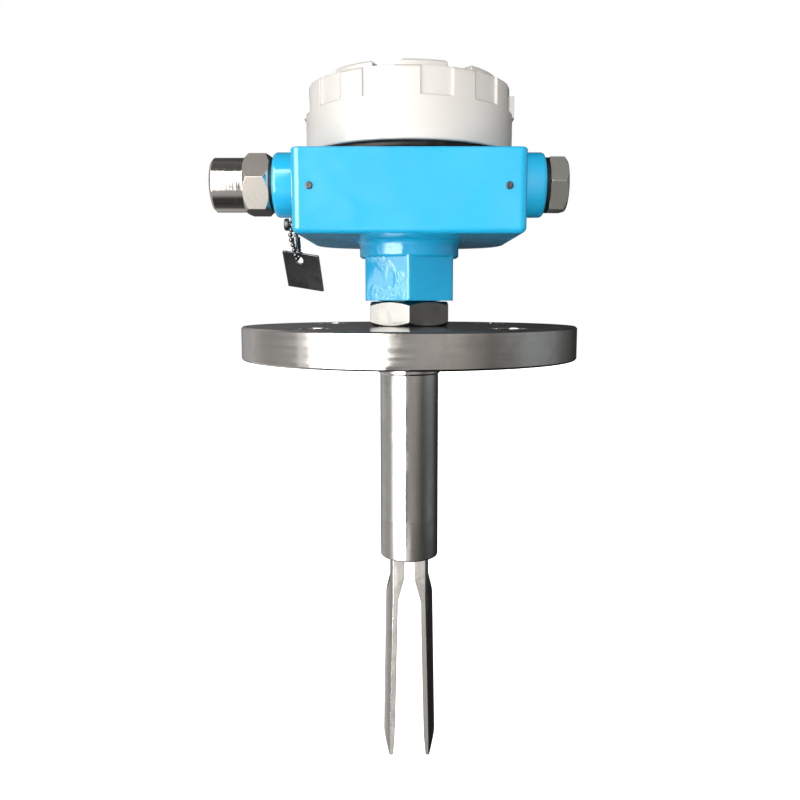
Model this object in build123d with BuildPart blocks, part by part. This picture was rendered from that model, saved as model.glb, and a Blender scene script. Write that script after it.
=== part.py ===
from build123d import *
from math import cos, radians, sin, sqrt, tan
import os

# A tuning fork level switch with a flange, in millimetres.
# The origin is the centre of the flange's sealing face. +Z runs up to the housing,
# +X points at the blind plug and -Y is the front.

os.makedirs("parts", exist_ok=True)

# Fits
thread_fit = 0.05        # radial play of a screwed joint, drawn as plain cylinders
running_fit = 0.3        # radial play between large faces that turn on each other
seat_gap = 0.1           # play left above and below a round seal
slip_fit = 0.1           # play round small pieces that sit in a pocket
hole_relief = 0.5        # depth a blind hole has beyond the piece in it

# Flange
flange_diameter = 165.0
flange_thickness = 16.0
flange_edge = 0.8
raised_face_diameter = 102.0
raised_face_height = 2.0
bolt_circle = 125.0
bolt_hole = 18.0
bolt_count = 4
wire_bore_diameter = 14.0

# Probe tube and fork
tube_diameter = 29.4
tube_wall = 2.2
tube_length = 80.0
weld_collar_diameter = 30.8
weld_collar_height = 6.0
weld_collar_bevel = 0.7
head_height = 20.0
head_edge = 0.8
head_bore_diameter = 21.0
head_spigot_height = 5.0
diaphragm_thickness = 5.0
stack_boss_height = 2.0
tine_length = 106.5
tine_width = 17.8
tine_root_inner = 2.5
tine_root_outer = 9.8
tine_root_length = 11.5
tine_shoulder_length = 8.3
tine_gap_length = 10.5
tine_gap_flare = 12.5
tine_blade_inner = 5.9
tine_blade_radius = 12.1
tine_flare_inner = 1.75
tine_flare_radius = 1.35
tine_bevel_length = 10.5
tine_tip_thickness = 2.0
tine_tip_inner = 8.5
tine_tip_edge = 0.7

# Ceramic drive stack
stack_radius = 7.0
stack_hole_radius = 2.8
disc_thickness = 2.0
disc_count = 4
electrode_thickness = 0.4
electrode_tab_reach = 9.6
electrode_tab_width = 3.0
electrode_tab_solder = 1.2
insulator_thickness = 1.0
pressure_plate_thickness = 2.5
clamp_bolt_radius = 2.0
clamp_bolt_head_radius = 3.5
clamp_bolt_head_height = 4.0
clamp_bolt_key = 3.0
clamp_bolt_grip = 4.0
sleeve_wall = 0.6

# Signal wires
wire_radius = 0.6
wire_spread = 2.0
wire_bend_start = 14.0
wire_bend_height = 30.0
wire_bend_radius = 45.0
bush_length = 10.0
bush_depth = 1.0

# Stem adapter
adapter_flats = 38.0
adapter_hex_height = 12.0
adapter_bevel = 3.6
adapter_top_spigot_diameter = 27.0
adapter_top_spigot_length = 15.0
adapter_low_spigot_diameter = 20.0
adapter_low_spigot_length = 12.0
adapter_bore_diameter = 12.0
neck_gap = 0.4
neck_seal_diameter = 2.2
neck_seal_pocket_depth = 2.0
neck_seal_pocket_diameter = 33.0

# Housing
neck_flats = 42.4
neck_hex_height = 20.8
neck_edge = 1.7
neck_rim_bevel = 1.0
collar_radius = 24.35
collar_height = 7.8
collar_bevel = 0.8
collar_root_radius = 2.5
body_side_margin = 5.4      # how far the body stands out beside the mouth
body_front_margin = 10.0
body_rear_margin = 9.0
body_height = 36.0
body_front_corner = 3.5
body_rear_round = 16.0      # how much smaller the rear corners' radius is than the mouth's
body_bottom_radius = 2.8
body_top_radius = 1.2
floor_thickness = 3.0
case_room = 9.0             # from the electronics case to the cavity's wall
cavity_corner = 3.0
mouth_wall = 4.0
mouth_height = 16.0
mouth_bevel = 1.0
boss_diameter = 31.0
boss_length = 15.1
boss_edge = 2.0
boss_depth_below_top = 8.5
boss_clearance = 0.4
cable_hole_diameter = 14.0
cable_thread_diameter = 20.0
cable_thread_depth = 14.6
standoff_diameter = 8.0
standoff_height = 4.0
ground_post_diameter = 7.6
ground_post_height = 10.0
ground_post_gap = 0.8

# Nameplate screws
plate_screw_margin = 7.9
plate_screw_below_top = 16.2
plate_screw_head_radius = 1.6
plate_screw_head_height = 0.9
plate_screw_radius = 1.0
plate_screw_length = 5.0
plate_screw_slot = 0.4

# Cover
cover_wall = 4.3
cover_height = 30.8
cover_top_edge = 2.2
cover_rim_edge = 0.5
cover_roof = 4.0
seal_gap = 4.1
recess_count = 12
recess_sweep = 17.0
recess_start = 5.7
recess_depth = 1.5
recess_height = 12.4
lug_count = 8
lug_sweep = 28.0
lug_start = 9.0
lug_margin = 6.6
lug_length = 13.0
lug_height = 4.0
lug_edge = 1.0
side_lug_sweep = 13.0
side_lug_centre = 89.2
side_lug_reach = 0.9
side_lug_low = 17.9
side_lug_high = 27.9
side_step_depth = 2.1

# Conduit adapter, left
conduit_washer_thickness = 1.5
conduit_flats = 27.0
conduit_hex_length = 12.5
conduit_bevel = 2.2
conduit_bevel_slope = 45.0
conduit_turn = 37.0
conduit_diameter = 26.0
conduit_length = 16.0
conduit_edge = 1.2
conduit_thread_radius = 9.5
conduit_spigot_length = 13.0

# Blind plug, right
plug_washer_thickness = 2.0
plug_flats = 25.0
plug_hex_length = 8.9
plug_bevel = 2.3
plug_bevel_slope = 38.0
plug_inner_bevel = 0.6
plug_turn = 29.0
plug_spigot_length = 13.0
washer_radius = 13.2

# Ground screws
ground_offset = 26.0
ground_height = 6.2
ground_shank_radius = 1.5
ground_shank_length = 7.0
ground_washer_radius = 3.6
ground_washer_thickness = 0.8
ground_head_radius = 2.8
ground_head_height = 2.0
ground_slot = 0.8
chain_room = 4.4
inner_ground_shank_radius = 1.5
inner_ground_shank_length = 6.0
inner_ground_head_radius = 3.0
inner_ground_head_height = 2.0
inner_ground_washer_radius = 3.6
inner_ground_washer_thickness = 0.6
inner_ground_slot = 0.8

# Chain and tag
bead_radius = 1.1
bead_pitch = 2.4
chain_pin_radius = 0.4
connector_radius = 1.75
connector_length = 4.8
connector_wall = 0.35
connector_start = 7.2       # along the chain, from the tag's hole
tag_size = 18.8
tag_thickness = 0.8
tag_corner = 0.4
tag_tilt = 9.8
tag_lean = 30.6
tag_turn = -25.2
tag_hole_radius = 2.1
tag_hole_below_edge = 3.4
tag_hole_side = 1.0
tag_hole_right = 2.4
tag_hole_front = 1.0
tag_drop = 15.8

# Electronics module
case_radius = 32.0
case_wall = 2.0
case_floor = 2.0
case_rim_height = 14.0
board_thickness = 1.6
board_depth = 2.0
board_ledge = 1.5
board_slot_width = 6.6
board_slot_length = 3.0
module_screw_radius = 1.5
module_screw_bite = 3.5
module_head_radius = 2.8
module_head_height = 1.8
module_post_radius = 3.6
terminal_count = 5
terminal_pitch = 7.0
terminal_depth = 11.0
terminal_height = 13.0
terminal_margin = 15.0
terminal_entry = 4.6
terminal_entry_depth = 7.5
terminal_entry_height = 2.0
clamp_wall = 0.7
clamp_length = 6.0
terminal_head_radius = 1.9
terminal_head_sink = 1.1
terminal_slot = 0.7
terminal_slot_depth = 1.0
module_screw_slot = 0.8
relay_size = (19.0, 14.5, 15.0)
relay_side_edge = 0.8
relay_top_edge = 0.5
capacitor_radius = 4.0
capacitor_height = 12.0
capacitor_edge = 0.5
capacitor_groove_depth = 0.4
capacitor_groove_level = 1.4
capacitor_groove_reach = 0.6
connector_size = (8.0, 6.0, 8.0)
connector_wire_depth = 2.4
mode_size = (12.0, 6.0, 5.0)
mode_slot = (8.0, 2.6)
mode_slot_depth = 3.0
slider_size = (3.0, 2.0, 5.5)
slider_play = 0.3
slider_edge = 0.4
dial_size = (9.6, 9.6, 4.8)
dial_radius = 3.0
dial_recess_depth = 1.8
dial_height = 2.2
dial_slot = 0.7
dial_slot_depth = 1.0
dial_edge = 0.3
lamp_radius = 1.5
lamp_base_radius = 1.9
lamp_base_height = 1.0
lamp_height = 5.0

# Places on the board, as shares of the case's radius
module_screw_share = 0.78125
relay_share = (0.34375, 0.359375)
capacitor_share = (-0.140625, 0.40625)
mode_share = (0.45625, -0.1125)
dial_share = (-0.46875, 0.4375)
lamp_shares = ((-0.3125, -0.15625), (-0.5, -0.15625))

# Widths of the head, from the electronics case outwards
cavity_diameter = 2 * (case_radius + case_room)
mouth_diameter = cavity_diameter + 2 * mouth_wall
cover_diameter = mouth_diameter + 2 * (running_fit + cover_wall)
cover_radius = cover_diameter / 2
lug_outer_radius = cover_radius - lug_margin
lug_inner_radius = lug_outer_radius - lug_length
side_wall = mouth_diameter / 2 + body_side_margin
body_front = mouth_diameter / 2 + body_front_margin
body_rear = mouth_diameter / 2 + body_rear_margin
body_rear_corner = mouth_diameter / 2 - body_rear_round
boss_reach = side_wall + boss_length
plate_screw_offset = side_wall - plate_screw_margin
ground_post_offset = case_radius + ground_post_gap + ground_post_diameter / 2
module_screw_offset = module_screw_share * case_radius
terminal_offset = case_radius - terminal_margin
relay_centre = tuple(share * case_radius for share in relay_share)
capacitor_centre = tuple(share * case_radius for share in capacitor_share)
mode_centre = tuple(share * case_radius for share in mode_share)
dial_centre = tuple(share * case_radius for share in dial_share)
lamp_centres = [tuple(share * case_radius for share in lamp) for lamp in lamp_shares]

# Levels along the axis, all from the sizes above
flange_top = raised_face_height + flange_thickness
adapter_top = flange_top + adapter_hex_height
neck_bottom = adapter_top + neck_gap
collar_bottom = neck_bottom + neck_hex_height
body_bottom = collar_bottom + collar_height
body_top = body_bottom + body_height
cavity_floor = body_bottom + floor_thickness
mouth_top = body_top + mouth_height
boss_level = body_top - boss_depth_below_top
head_top = -tube_length
head_bottom = head_top - head_height
tine_end = head_bottom - tine_length
diaphragm_top = head_bottom + diaphragm_thickness
stack_bottom = diaphragm_top + stack_boss_height
cover_rim = body_top + seal_gap
cover_top = cover_rim + cover_height
case_bottom = cavity_floor + standoff_height
case_top = case_bottom + case_rim_height
board_bottom = case_top - board_depth - board_thickness
board_top = board_bottom + board_thickness
ground_level = body_bottom + ground_height
stack_pitch = disc_thickness + electrode_thickness
stack_top = stack_bottom + 2 * insulator_thickness + disc_count * stack_pitch + electrode_thickness
plate_top = stack_top + pressure_plate_thickness
plate_screw_level = body_top - plate_screw_below_top


def section_of(base):
    """The plane that holds the axis of base: x is the radius and y the height."""
    return Plane(base.origin, x_dir=base.x_dir, z_dir=base.x_dir.cross(base.z_dir))


def turned(base, outline):
    """A solid turned about the axis of base from (radius, height) points."""
    with BuildPart() as lathe:
        with BuildSketch(section_of(base)):
            with BuildLine():
                Polyline(*outline, close=True)
            make_face()
        revolve(axis=Axis(base.origin, base.z_dir))
    return lathe.part


def tube_piece(base, outer, inner, length):
    """A plain ring or tube that stands on base."""
    return turned(base, [(inner, 0), (outer, 0), (outer, length), (inner, length)])


def hexagon_bar(base, flats, length, near_bevel, far_bevel, turn, edge=0.0, bevel_slope=30.0):
    """A length of hexagon bar that stands on base, with turned bevels at its ends."""
    corner = flats / sqrt(3)
    reach = corner + 1
    slope = tan(radians(bevel_slope))
    envelope = turned(base, [
        (0, 0),
        (corner - near_bevel, 0),
        (reach, (near_bevel + 1) * slope),
        (reach, length - (far_bevel + 1) * slope),
        (corner - far_bevel, length),
        (0, length),
    ])
    with BuildPart() as bar:
        with BuildSketch(base) as outline:
            RegularPolygon(corner, 6, rotation=turn)
            if edge:
                fillet(outline.vertices(), edge)
        extrude(amount=length)
        add(envelope, mode=Mode.INTERSECT)
    return bar.part


def ring_sector(inner, outer, centre, sweep):
    """A flat sector of a ring about the origin."""
    with BuildSketch() as sector:
        with BuildLine():
            far = CenterArc((0, 0), outer, centre - sweep / 2, sweep)
            near = CenterArc((0, 0), inner, centre - sweep / 2, sweep)
            Line(near @ 0, far @ 0)
            Line(near @ 1, far @ 1)
        make_face()
    return sector.sketch


def slotted_screw(base, head_radius, head_height, shank_radius, shank_length, slot, lift=0.0):
    """A pan head screw: its head stands on base, lifted off it, and its shank goes below."""
    rounding = head_height * 0.45
    with BuildPart() as screw:
        with BuildSketch(section_of(base)):
            with BuildLine():
                FilletPolyline(
                    (0, lift + head_height),
                    (head_radius, lift + head_height),
                    (head_radius, lift),
                    (shank_radius, lift),
                    radius=(rounding, 0),
                )
                Polyline(
                    (shank_radius, lift),
                    (shank_radius, -shank_length),
                    (0, -shank_length),
                    (0, lift + head_height),
                )
            make_face()
        revolve(axis=Axis(base.origin, base.z_dir))
        with BuildSketch(base.offset(lift + head_height)):
            Rectangle(2 * head_radius + 1, slot)
        extrude(amount=-head_height * 0.5, mode=Mode.SUBTRACT)
    return screw.part


def side_plane(x, y, z, side):
    """A plane that looks out along X to the given side, with its x direction up."""
    return Plane((x, y, z), x_dir=(0, 0, 1), z_dir=(side, 0, 0))


def save(name, part):
    """Write one finished piece."""
    part.label = name
    export_step(part, f"parts/{name}.step")


# Tuning fork: head, diaphragm and both tines in one piece
blade_end_radius = tine_blade_radius + tine_flare_radius
blade_end = tine_end + tine_bevel_length
shoulder_top = head_bottom - tine_root_length
shoulder_end = shoulder_top - tine_shoulder_length
shoulder_slope = (tine_blade_radius - tine_root_outer) / tine_shoulder_length
bevel_slope = (blade_end_radius - tine_tip_inner - tine_tip_thickness) / tine_bevel_length
tine_reach = blade_end_radius + 1
gap_end = head_bottom - tine_gap_length
tine_outline = [
    (tine_root_inner, diaphragm_top - diaphragm_thickness / 2),
    (tine_root_outer, diaphragm_top - diaphragm_thickness / 2),
    (tine_root_outer, shoulder_top),
    (tine_reach, shoulder_top - (tine_reach - tine_root_outer) / shoulder_slope),
    (tine_reach, blade_end + (tine_reach - blade_end_radius) / bevel_slope),
    (tine_tip_inner + tine_tip_thickness, tine_end),
    (tine_tip_inner, tine_end),
    (tine_blade_inner + tine_flare_inner, blade_end),
    (tine_blade_inner, gap_end - tine_gap_flare),
    (tine_root_inner, gap_end),
]
blade_envelope = turned(Plane.XY, [
    (0, diaphragm_top),
    (tine_blade_radius, diaphragm_top),
    (tine_blade_radius, shoulder_end),
    (blade_end_radius, blade_end),
    (blade_end_radius, tine_end),
    (0, tine_end),
])
with BuildPart() as tine:
    with BuildSketch(Plane.XZ):
        with BuildLine():
            Polyline(*tine_outline, close=True)
        make_face()
    extrude(amount=tine_width / 2, both=True)
    add(blade_envelope, mode=Mode.INTERSECT)
    fillet(tine.edges().filter_by(Axis.Y).group_by(Axis.Z)[0], tine_tip_edge)

spigot_radius = tube_diameter / 2 - tube_wall - thread_fit
with BuildPart() as tuning_fork:
    with BuildSketch(section_of(Plane.XY)):
        with BuildLine():
            Polyline(
                (0, head_bottom),
                (tube_diameter / 2, head_bottom),
                (tube_diameter / 2, head_top),
                (spigot_radius, head_top),
                (spigot_radius, head_top + head_spigot_height),
                (head_bore_diameter / 2, head_top + head_spigot_height),
                (head_bore_diameter / 2, diaphragm_top),
                (stack_radius, diaphragm_top),
                (stack_radius, stack_bottom),
                (0, stack_bottom),
                close=True,
            )
        make_face()
    revolve(axis=Axis.Z)
    fillet(tuning_fork.edges().group_by(Axis.Z)[0], head_edge)
    add(tine.part)
    add(tine.part.mirror(Plane.YZ))
    with Locations((0, 0, stack_bottom)):
        Cylinder(
            clamp_bolt_radius + thread_fit,
            clamp_bolt_grip,
            align=(Align.CENTER, Align.CENTER, Align.MAX),
            mode=Mode.SUBTRACT,
        )
save("tuning_fork", tuning_fork.part)

# Probe tube with its weld collar
with BuildPart() as probe_tube:
    with BuildSketch(section_of(Plane.XY)):
        with BuildLine():
            Polyline(
                (tube_diameter / 2 - tube_wall, head_top),
                (tube_diameter / 2, head_top),
                (tube_diameter / 2, -weld_collar_height),
                (weld_collar_diameter / 2, -weld_collar_height + weld_collar_bevel),
                (weld_collar_diameter / 2, 0),
                (tube_diameter / 2 - tube_wall, 0),
                close=True,
            )
        make_face()
    revolve(axis=Axis.Z)
save("probe_tube", probe_tube.part)

# Flange
adapter_socket_radius = adapter_low_spigot_diameter / 2 + thread_fit
adapter_socket_bottom = flange_top - adapter_low_spigot_length - hole_relief
with BuildPart() as flange:
    with BuildSketch(section_of(Plane.XY)):
        with BuildLine():
            Polyline(
                (wire_bore_diameter / 2, 0),
                (raised_face_diameter / 2, 0),
                (raised_face_diameter / 2, raised_face_height),
                (flange_diameter / 2 - flange_edge, raised_face_height),
                (flange_diameter / 2, raised_face_height + flange_edge),
                (flange_diameter / 2, flange_top - flange_edge),
                (flange_diameter / 2 - flange_edge, flange_top),
                (adapter_socket_radius, flange_top),
                (adapter_socket_radius, adapter_socket_bottom),
                (wire_bore_diameter / 2, adapter_socket_bottom),
                close=True,
            )
        make_face()
    revolve(axis=Axis.Z)
    with Locations((0, 0, flange_top)):
        with PolarLocations(bolt_circle / 2, bolt_count, start_angle=180 / bolt_count):
            Hole(bolt_hole / 2)
save("flange", flange.part)

# Stem adapter between the flange and the neck
adapter_hexagon = hexagon_bar(
    Plane.XY.offset(flange_top), adapter_flats, adapter_hex_height, adapter_bevel, adapter_bevel, 30
)
with BuildPart() as stem_adapter:
    add(adapter_hexagon)
    with Locations((0, 0, adapter_top)):
        Cylinder(
            adapter_top_spigot_diameter / 2,
            adapter_top_spigot_length,
            align=(Align.CENTER, Align.CENTER, Align.MIN),
        )
    with Locations((0, 0, flange_top)):
        Cylinder(
            adapter_low_spigot_diameter / 2,
            adapter_low_spigot_length,
            align=(Align.CENTER, Align.CENTER, Align.MAX),
        )
    with Locations((0, 0, adapter_top + adapter_top_spigot_length)):
        Hole(adapter_bore_diameter / 2)
save("stem_adapter", stem_adapter.part)

# O-ring in the pocket at the neck's mouth
neck_seal_radius = (adapter_top_spigot_diameter + neck_seal_diameter) / 2 + seat_gap
with BuildPart() as neck_o_ring:
    with Locations((0, 0, adapter_top + seat_gap + neck_seal_diameter / 2)):
        Torus(neck_seal_radius, neck_seal_diameter / 2)
save("neck_o_ring", neck_o_ring.part)

# Ceramic drive stack on the diaphragm
low_insulator = Plane.XY.offset(stack_bottom)
high_insulator = Plane.XY.offset(stack_top - insulator_thickness)
first_electrode = stack_bottom + insulator_thickness
with BuildPart() as insulating_washers:
    add(tube_piece(low_insulator, stack_radius, stack_hole_radius, insulator_thickness))
    add(tube_piece(high_insulator, stack_radius, stack_hole_radius, insulator_thickness))
save("insulating_washers", insulating_washers.part)

with BuildPart() as piezo_discs:
    for i in range(disc_count):
        level = first_electrode + electrode_thickness + i * stack_pitch
        add(tube_piece(Plane.XY.offset(level), stack_radius, stack_hole_radius, disc_thickness))
save("piezo_discs", piezo_discs.part)

# The second and the last but one electrode carry the soldered tabs
tab_sides = {1: 1, disc_count - 1: -1}
with BuildPart() as electrode_plates:
    for i in range(disc_count + 1):
        with BuildSketch(Plane.XY.offset(first_electrode + i * stack_pitch)):
            Circle(stack_radius)
            if i in tab_sides:
                with Locations((tab_sides[i] * electrode_tab_reach / 2, 0)):
                    Rectangle(electrode_tab_reach, electrode_tab_width)
            Circle(stack_hole_radius, mode=Mode.SUBTRACT)
        extrude(amount=electrode_thickness)
save("electrode_plates", electrode_plates.part)

sleeve_inner = clamp_bolt_radius + slip_fit
insulating_sleeve = tube_piece(
    low_insulator, sleeve_inner + sleeve_wall, sleeve_inner, stack_top - stack_bottom
)
save("insulating_sleeve", insulating_sleeve)

pressure_plate = tube_piece(
    Plane.XY.offset(stack_top), stack_radius, clamp_bolt_radius + slip_fit, pressure_plate_thickness
)
save("pressure_plate", pressure_plate)

with BuildPart() as clamp_bolt:
    with Locations((0, 0, plate_top)):
        Cylinder(
            clamp_bolt_head_radius,
            clamp_bolt_head_height,
            align=(Align.CENTER, Align.CENTER, Align.MIN),
        )
        Cylinder(
            clamp_bolt_radius,
            plate_top - stack_bottom + clamp_bolt_grip - hole_relief,
            align=(Align.CENTER, Align.CENTER, Align.MAX),
        )
    with BuildSketch(Plane.XY.offset(plate_top + clamp_bolt_head_height)):
        RegularPolygon(clamp_bolt_key / 2, 6, major_radius=False)
    extrude(amount=-clamp_bolt_head_height * 0.55, mode=Mode.SUBTRACT)
save("clamp_bolt", clamp_bolt.part)

# Signal wires from the soldered tabs to the sensor connector
wire_top = board_top + connector_size[2] - connector_wire_depth
tab_centre = electrode_tab_reach - electrode_tab_solder
with BuildPart() as signal_wires:
    for index, side in tab_sides.items():
        start = first_electrode + index * stack_pitch + electrode_thickness
        bend = plate_top + wire_bend_start
        with BuildLine() as route:
            FilletPolyline(
                (side * tab_centre, 0, start),
                (side * tab_centre, 0, bend),
                (side * wire_spread, 0, bend + wire_bend_height),
                (side * wire_spread, 0, wire_top),
                radius=wire_bend_radius,
            )
        with BuildSketch(Plane((side * tab_centre, 0, start))):
            Circle(wire_radius)
        sweep(path=route.line)
save("signal_wires", signal_wires.part)

# Rubber bush that centres the wires in the stem adapter
bush_top = adapter_top + adapter_top_spigot_length - bush_depth
with BuildPart() as wire_bush:
    with BuildSketch(Plane.XY.offset(bush_top)):
        Circle(adapter_bore_diameter / 2 - thread_fit)
        with Locations((wire_spread, 0), (-wire_spread, 0)):
            Circle(wire_radius + thread_fit, mode=Mode.SUBTRACT)
    extrude(amount=-bush_length)
save("wire_bush", wire_bush.part)

# Housing
neck_hexagon = hexagon_bar(
    Plane.XY.offset(neck_bottom),
    neck_flats,
    neck_hex_height + collar_bevel,
    neck_rim_bevel,
    0,
    30,
    neck_edge,
)
collar = turned(Plane.XY, [
    (0, collar_bottom),
    (collar_radius - collar_bevel, collar_bottom),
    (collar_radius, collar_bottom + collar_bevel),
    (collar_radius, body_bottom + 1),
    (0, body_bottom + 1),
])
boss_start = cover_diameter / 2 + boss_clearance


def cable_boss(side):
    """A round boss on one side of the body, with a rounded outer edge."""
    with BuildPart() as boss:
        with BuildSketch(side_plane(side * boss_start, 0, boss_level, side)):
            Circle(boss_diameter / 2)
        extrude(amount=boss_reach - boss_start)
        fillet(boss.edges().sort_by(Axis.X)[-1 if side > 0 else 0], boss_edge)
    return boss.part


def cable_way(side):
    """The threaded hole in a boss and the plain hole from it into the cavity."""
    outward = side_plane(0, 0, boss_level, side)
    wall = cavity_diameter / 2 * 0.9
    thread_end = boss_reach - cable_thread_depth
    return turned(outward, [
        (0, wall),
        (cable_hole_diameter / 2, wall),
        (cable_hole_diameter / 2, thread_end),
        (cable_thread_diameter / 2, thread_end),
        (cable_thread_diameter / 2, boss_reach + 1),
        (0, boss_reach + 1),
    ])


bosses = [cable_boss(side) for side in (1, -1)]
cable_ways = [cable_way(side) for side in (1, -1)]
cavity = turned(Plane.XY, [
    (0, cavity_floor),
    (cavity_diameter / 2 - cavity_corner, cavity_floor),
    (cavity_diameter / 2, cavity_floor + cavity_corner),
    (cavity_diameter / 2, mouth_top + 1),
    (0, mouth_top + 1),
])
neck_bore = turned(Plane.XY, [
    (0, neck_bottom - 1),
    (neck_seal_pocket_diameter / 2, neck_bottom - 1),
    (neck_seal_pocket_diameter / 2, neck_bottom + neck_seal_pocket_depth),
    (adapter_top_spigot_diameter / 2 + thread_fit, neck_bottom + neck_seal_pocket_depth),
    (adapter_top_spigot_diameter / 2 + thread_fit, adapter_top + adapter_top_spigot_length + 1),
    (adapter_bore_diameter / 2, adapter_top + adapter_top_spigot_length + 1),
    (adapter_bore_diameter / 2, cavity_floor + 1),
    (0, cavity_floor + 1),
])
mouth_ring = turned(Plane.XY, [
    (0, body_top - 1),
    (mouth_diameter / 2, body_top - 1),
    (mouth_diameter / 2, mouth_top - mouth_bevel),
    (mouth_diameter / 2 - mouth_bevel, mouth_top),
    (0, mouth_top),
])
plate_screw_seats = [
    Plane((x * plate_screw_offset, -body_front, plate_screw_level), x_dir=(0, 0, 1), z_dir=(0, -1, 0))
    for x in (-1, 1)
]
ground_seat = side_plane(-side_wall, -ground_offset, ground_level, -1)
inner_ground_seat = Plane((0, ground_post_offset, cavity_floor + ground_post_height))
with BuildPart() as housing:
    with BuildSketch(Plane.XY.offset(body_bottom)):
        with BuildLine():
            FilletPolyline(
                (-side_wall, -body_front),
                (side_wall, -body_front),
                (side_wall, body_rear),
                (-side_wall, body_rear),
                radius=(body_front_corner, body_front_corner, body_rear_corner, body_rear_corner),
                close=True,
            )
        make_face()
    extrude(amount=body_height)
    fillet(housing.edges().group_by(Axis.Z)[0], body_bottom_radius)
    fillet(housing.edges().group_by(Axis.Z)[-1], body_top_radius)
    add(collar)
    collar_root = housing.edges().filter_by(GeomType.CIRCLE)
    collar_root = collar_root.filter_by_position(Axis.Z, body_bottom - 0.01, body_bottom + 0.01)
    fillet(collar_root, collar_root_radius)
    add(neck_hexagon)
    add(mouth_ring)
    add(bosses)
    add(cavity, mode=Mode.SUBTRACT)
    for x in (-1, 1):
        with Locations((x * module_screw_offset, 0, cavity_floor)):
            Cylinder(
                standoff_diameter / 2,
                standoff_height,
                align=(Align.CENTER, Align.CENTER, Align.MIN),
            )
    with Locations((0, ground_post_offset, cavity_floor)):
        Cylinder(
            ground_post_diameter / 2,
            ground_post_height,
            align=(Align.CENTER, Align.CENTER, Align.MIN),
        )
    add(neck_bore, mode=Mode.SUBTRACT)
    add(cable_ways, mode=Mode.SUBTRACT)
    with Locations((-module_screw_offset, 0, case_bottom), (module_screw_offset, 0, case_bottom)):
        Hole(module_screw_radius + thread_fit, depth=module_screw_bite + hole_relief)
    with Locations(*plate_screw_seats):
        Hole(plate_screw_radius + thread_fit, depth=plate_screw_length + hole_relief)
    with Locations(ground_seat):
        Hole(ground_shank_radius + thread_fit, depth=ground_shank_length + hole_relief)
    with Locations(inner_ground_seat):
        Hole(
            inner_ground_shank_radius + thread_fit,
            depth=inner_ground_shank_length + hole_relief,
        )
save("housing", housing.part)

# Nameplate screws in the front pad
with BuildPart() as nameplate_screws:
    for seat in plate_screw_seats:
        add(slotted_screw(
            seat,
            plate_screw_head_radius,
            plate_screw_head_height,
            plate_screw_radius,
            plate_screw_length,
            plate_screw_slot,
        ))
save("nameplate_screws", nameplate_screws.part)

# Seal ring round the foot of the housing's mouth
cover_seal_radius = seal_gap / 2 - 2 * seat_gap
with BuildPart() as cover_o_ring:
    with Locations((0, 0, body_top + seal_gap / 2)):
        Torus(mouth_diameter / 2 + running_fit + cover_seal_radius, cover_seal_radius)
save("cover_o_ring", cover_o_ring.part)

# Cover: a screwed cap with grip recesses round its wall and lugs on its top
cover_bore = mouth_diameter / 2 + running_fit


def from_front(angle):
    """The angle from +X of a direction that is given from the front towards +X."""
    return angle - 90


with BuildPart() as cover:
    with BuildSketch(section_of(Plane.XY)):
        with BuildLine():
            Polyline(
                (cover_bore, cover_rim),
                (cover_radius - cover_rim_edge, cover_rim),
                (cover_radius, cover_rim + cover_rim_edge),
                (cover_radius, cover_top),
                (0, cover_top),
                (0, cover_top - cover_roof),
                (cover_bore, cover_top - cover_roof),
                close=True,
            )
        make_face()
    revolve(axis=Axis.Z)
    fillet(cover.edges().group_by(Axis.Z)[-1], cover_top_edge)
    for i in range(recess_count):
        middle = from_front(recess_start + recess_sweep / 2 + i * 360 / recess_count)
        with BuildSketch(Plane.XY.offset(cover_top - recess_height)):
            add(ring_sector(cover_radius - recess_depth, cover_radius + 1, middle, recess_sweep))
        extrude(amount=recess_height + 1, mode=Mode.SUBTRACT)
    for middle in (from_front(side_lug_centre), from_front(side_lug_centre + 180)):
        with BuildSketch(Plane.XY.offset(cover_rim + side_lug_high)):
            add(ring_sector(cover_radius - side_step_depth, cover_radius + 1, middle, side_lug_sweep))
        extrude(amount=cover_height, mode=Mode.SUBTRACT)
        with BuildSketch(Plane.XY.offset(cover_rim + side_lug_low)):
            add(ring_sector(cover_radius - 1, cover_radius + side_lug_reach, middle, side_lug_sweep))
        extrude(amount=side_lug_high - side_lug_low)
    for i in range(lug_count):
        middle = from_front(lug_start + i * 360 / lug_count)
        with BuildSketch(Plane.XY.offset(cover_top - 1)):
            add(ring_sector(lug_inner_radius, lug_outer_radius, middle, lug_sweep))
        extrude(amount=lug_height + 1)
    chamfer(cover.edges().group_by(Axis.Z)[-1], lug_edge)
save("cover", cover.part)

# Conduit adapter on the left
conduit_seat = side_plane(-boss_reach, 0, boss_level, -1)
conduit_face = conduit_seat.offset(conduit_washer_thickness)
conduit_hexagon = hexagon_bar(
    conduit_face,
    conduit_flats,
    conduit_hex_length,
    conduit_bevel,
    conduit_bevel,
    conduit_turn,
    bevel_slope=conduit_bevel_slope,
)
conduit_end = conduit_hex_length + conduit_length
conduit_barrel = turned(conduit_face, [
    (0, 0),
    (conduit_diameter / 2, 0),
    (conduit_diameter / 2, conduit_end - conduit_edge),
    (conduit_diameter / 2 - conduit_edge, conduit_end),
    (0, conduit_end),
])
conduit_bore = turned(conduit_face, [
    (0, -conduit_spigot_length - 1),
    (cable_hole_diameter / 2, -conduit_spigot_length - 1),
    (cable_hole_diameter / 2, conduit_hex_length),
    (conduit_thread_radius, conduit_hex_length),
    (conduit_thread_radius, conduit_end + 1),
    (0, conduit_end + 1),
])
with BuildPart() as conduit_adapter:
    add(conduit_hexagon)
    add(conduit_barrel)
    with BuildSketch(conduit_face):
        Circle(cable_thread_diameter / 2 - thread_fit)
    extrude(amount=-conduit_spigot_length)
    add(conduit_bore, mode=Mode.SUBTRACT)
save("conduit_adapter", conduit_adapter.part)

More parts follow.
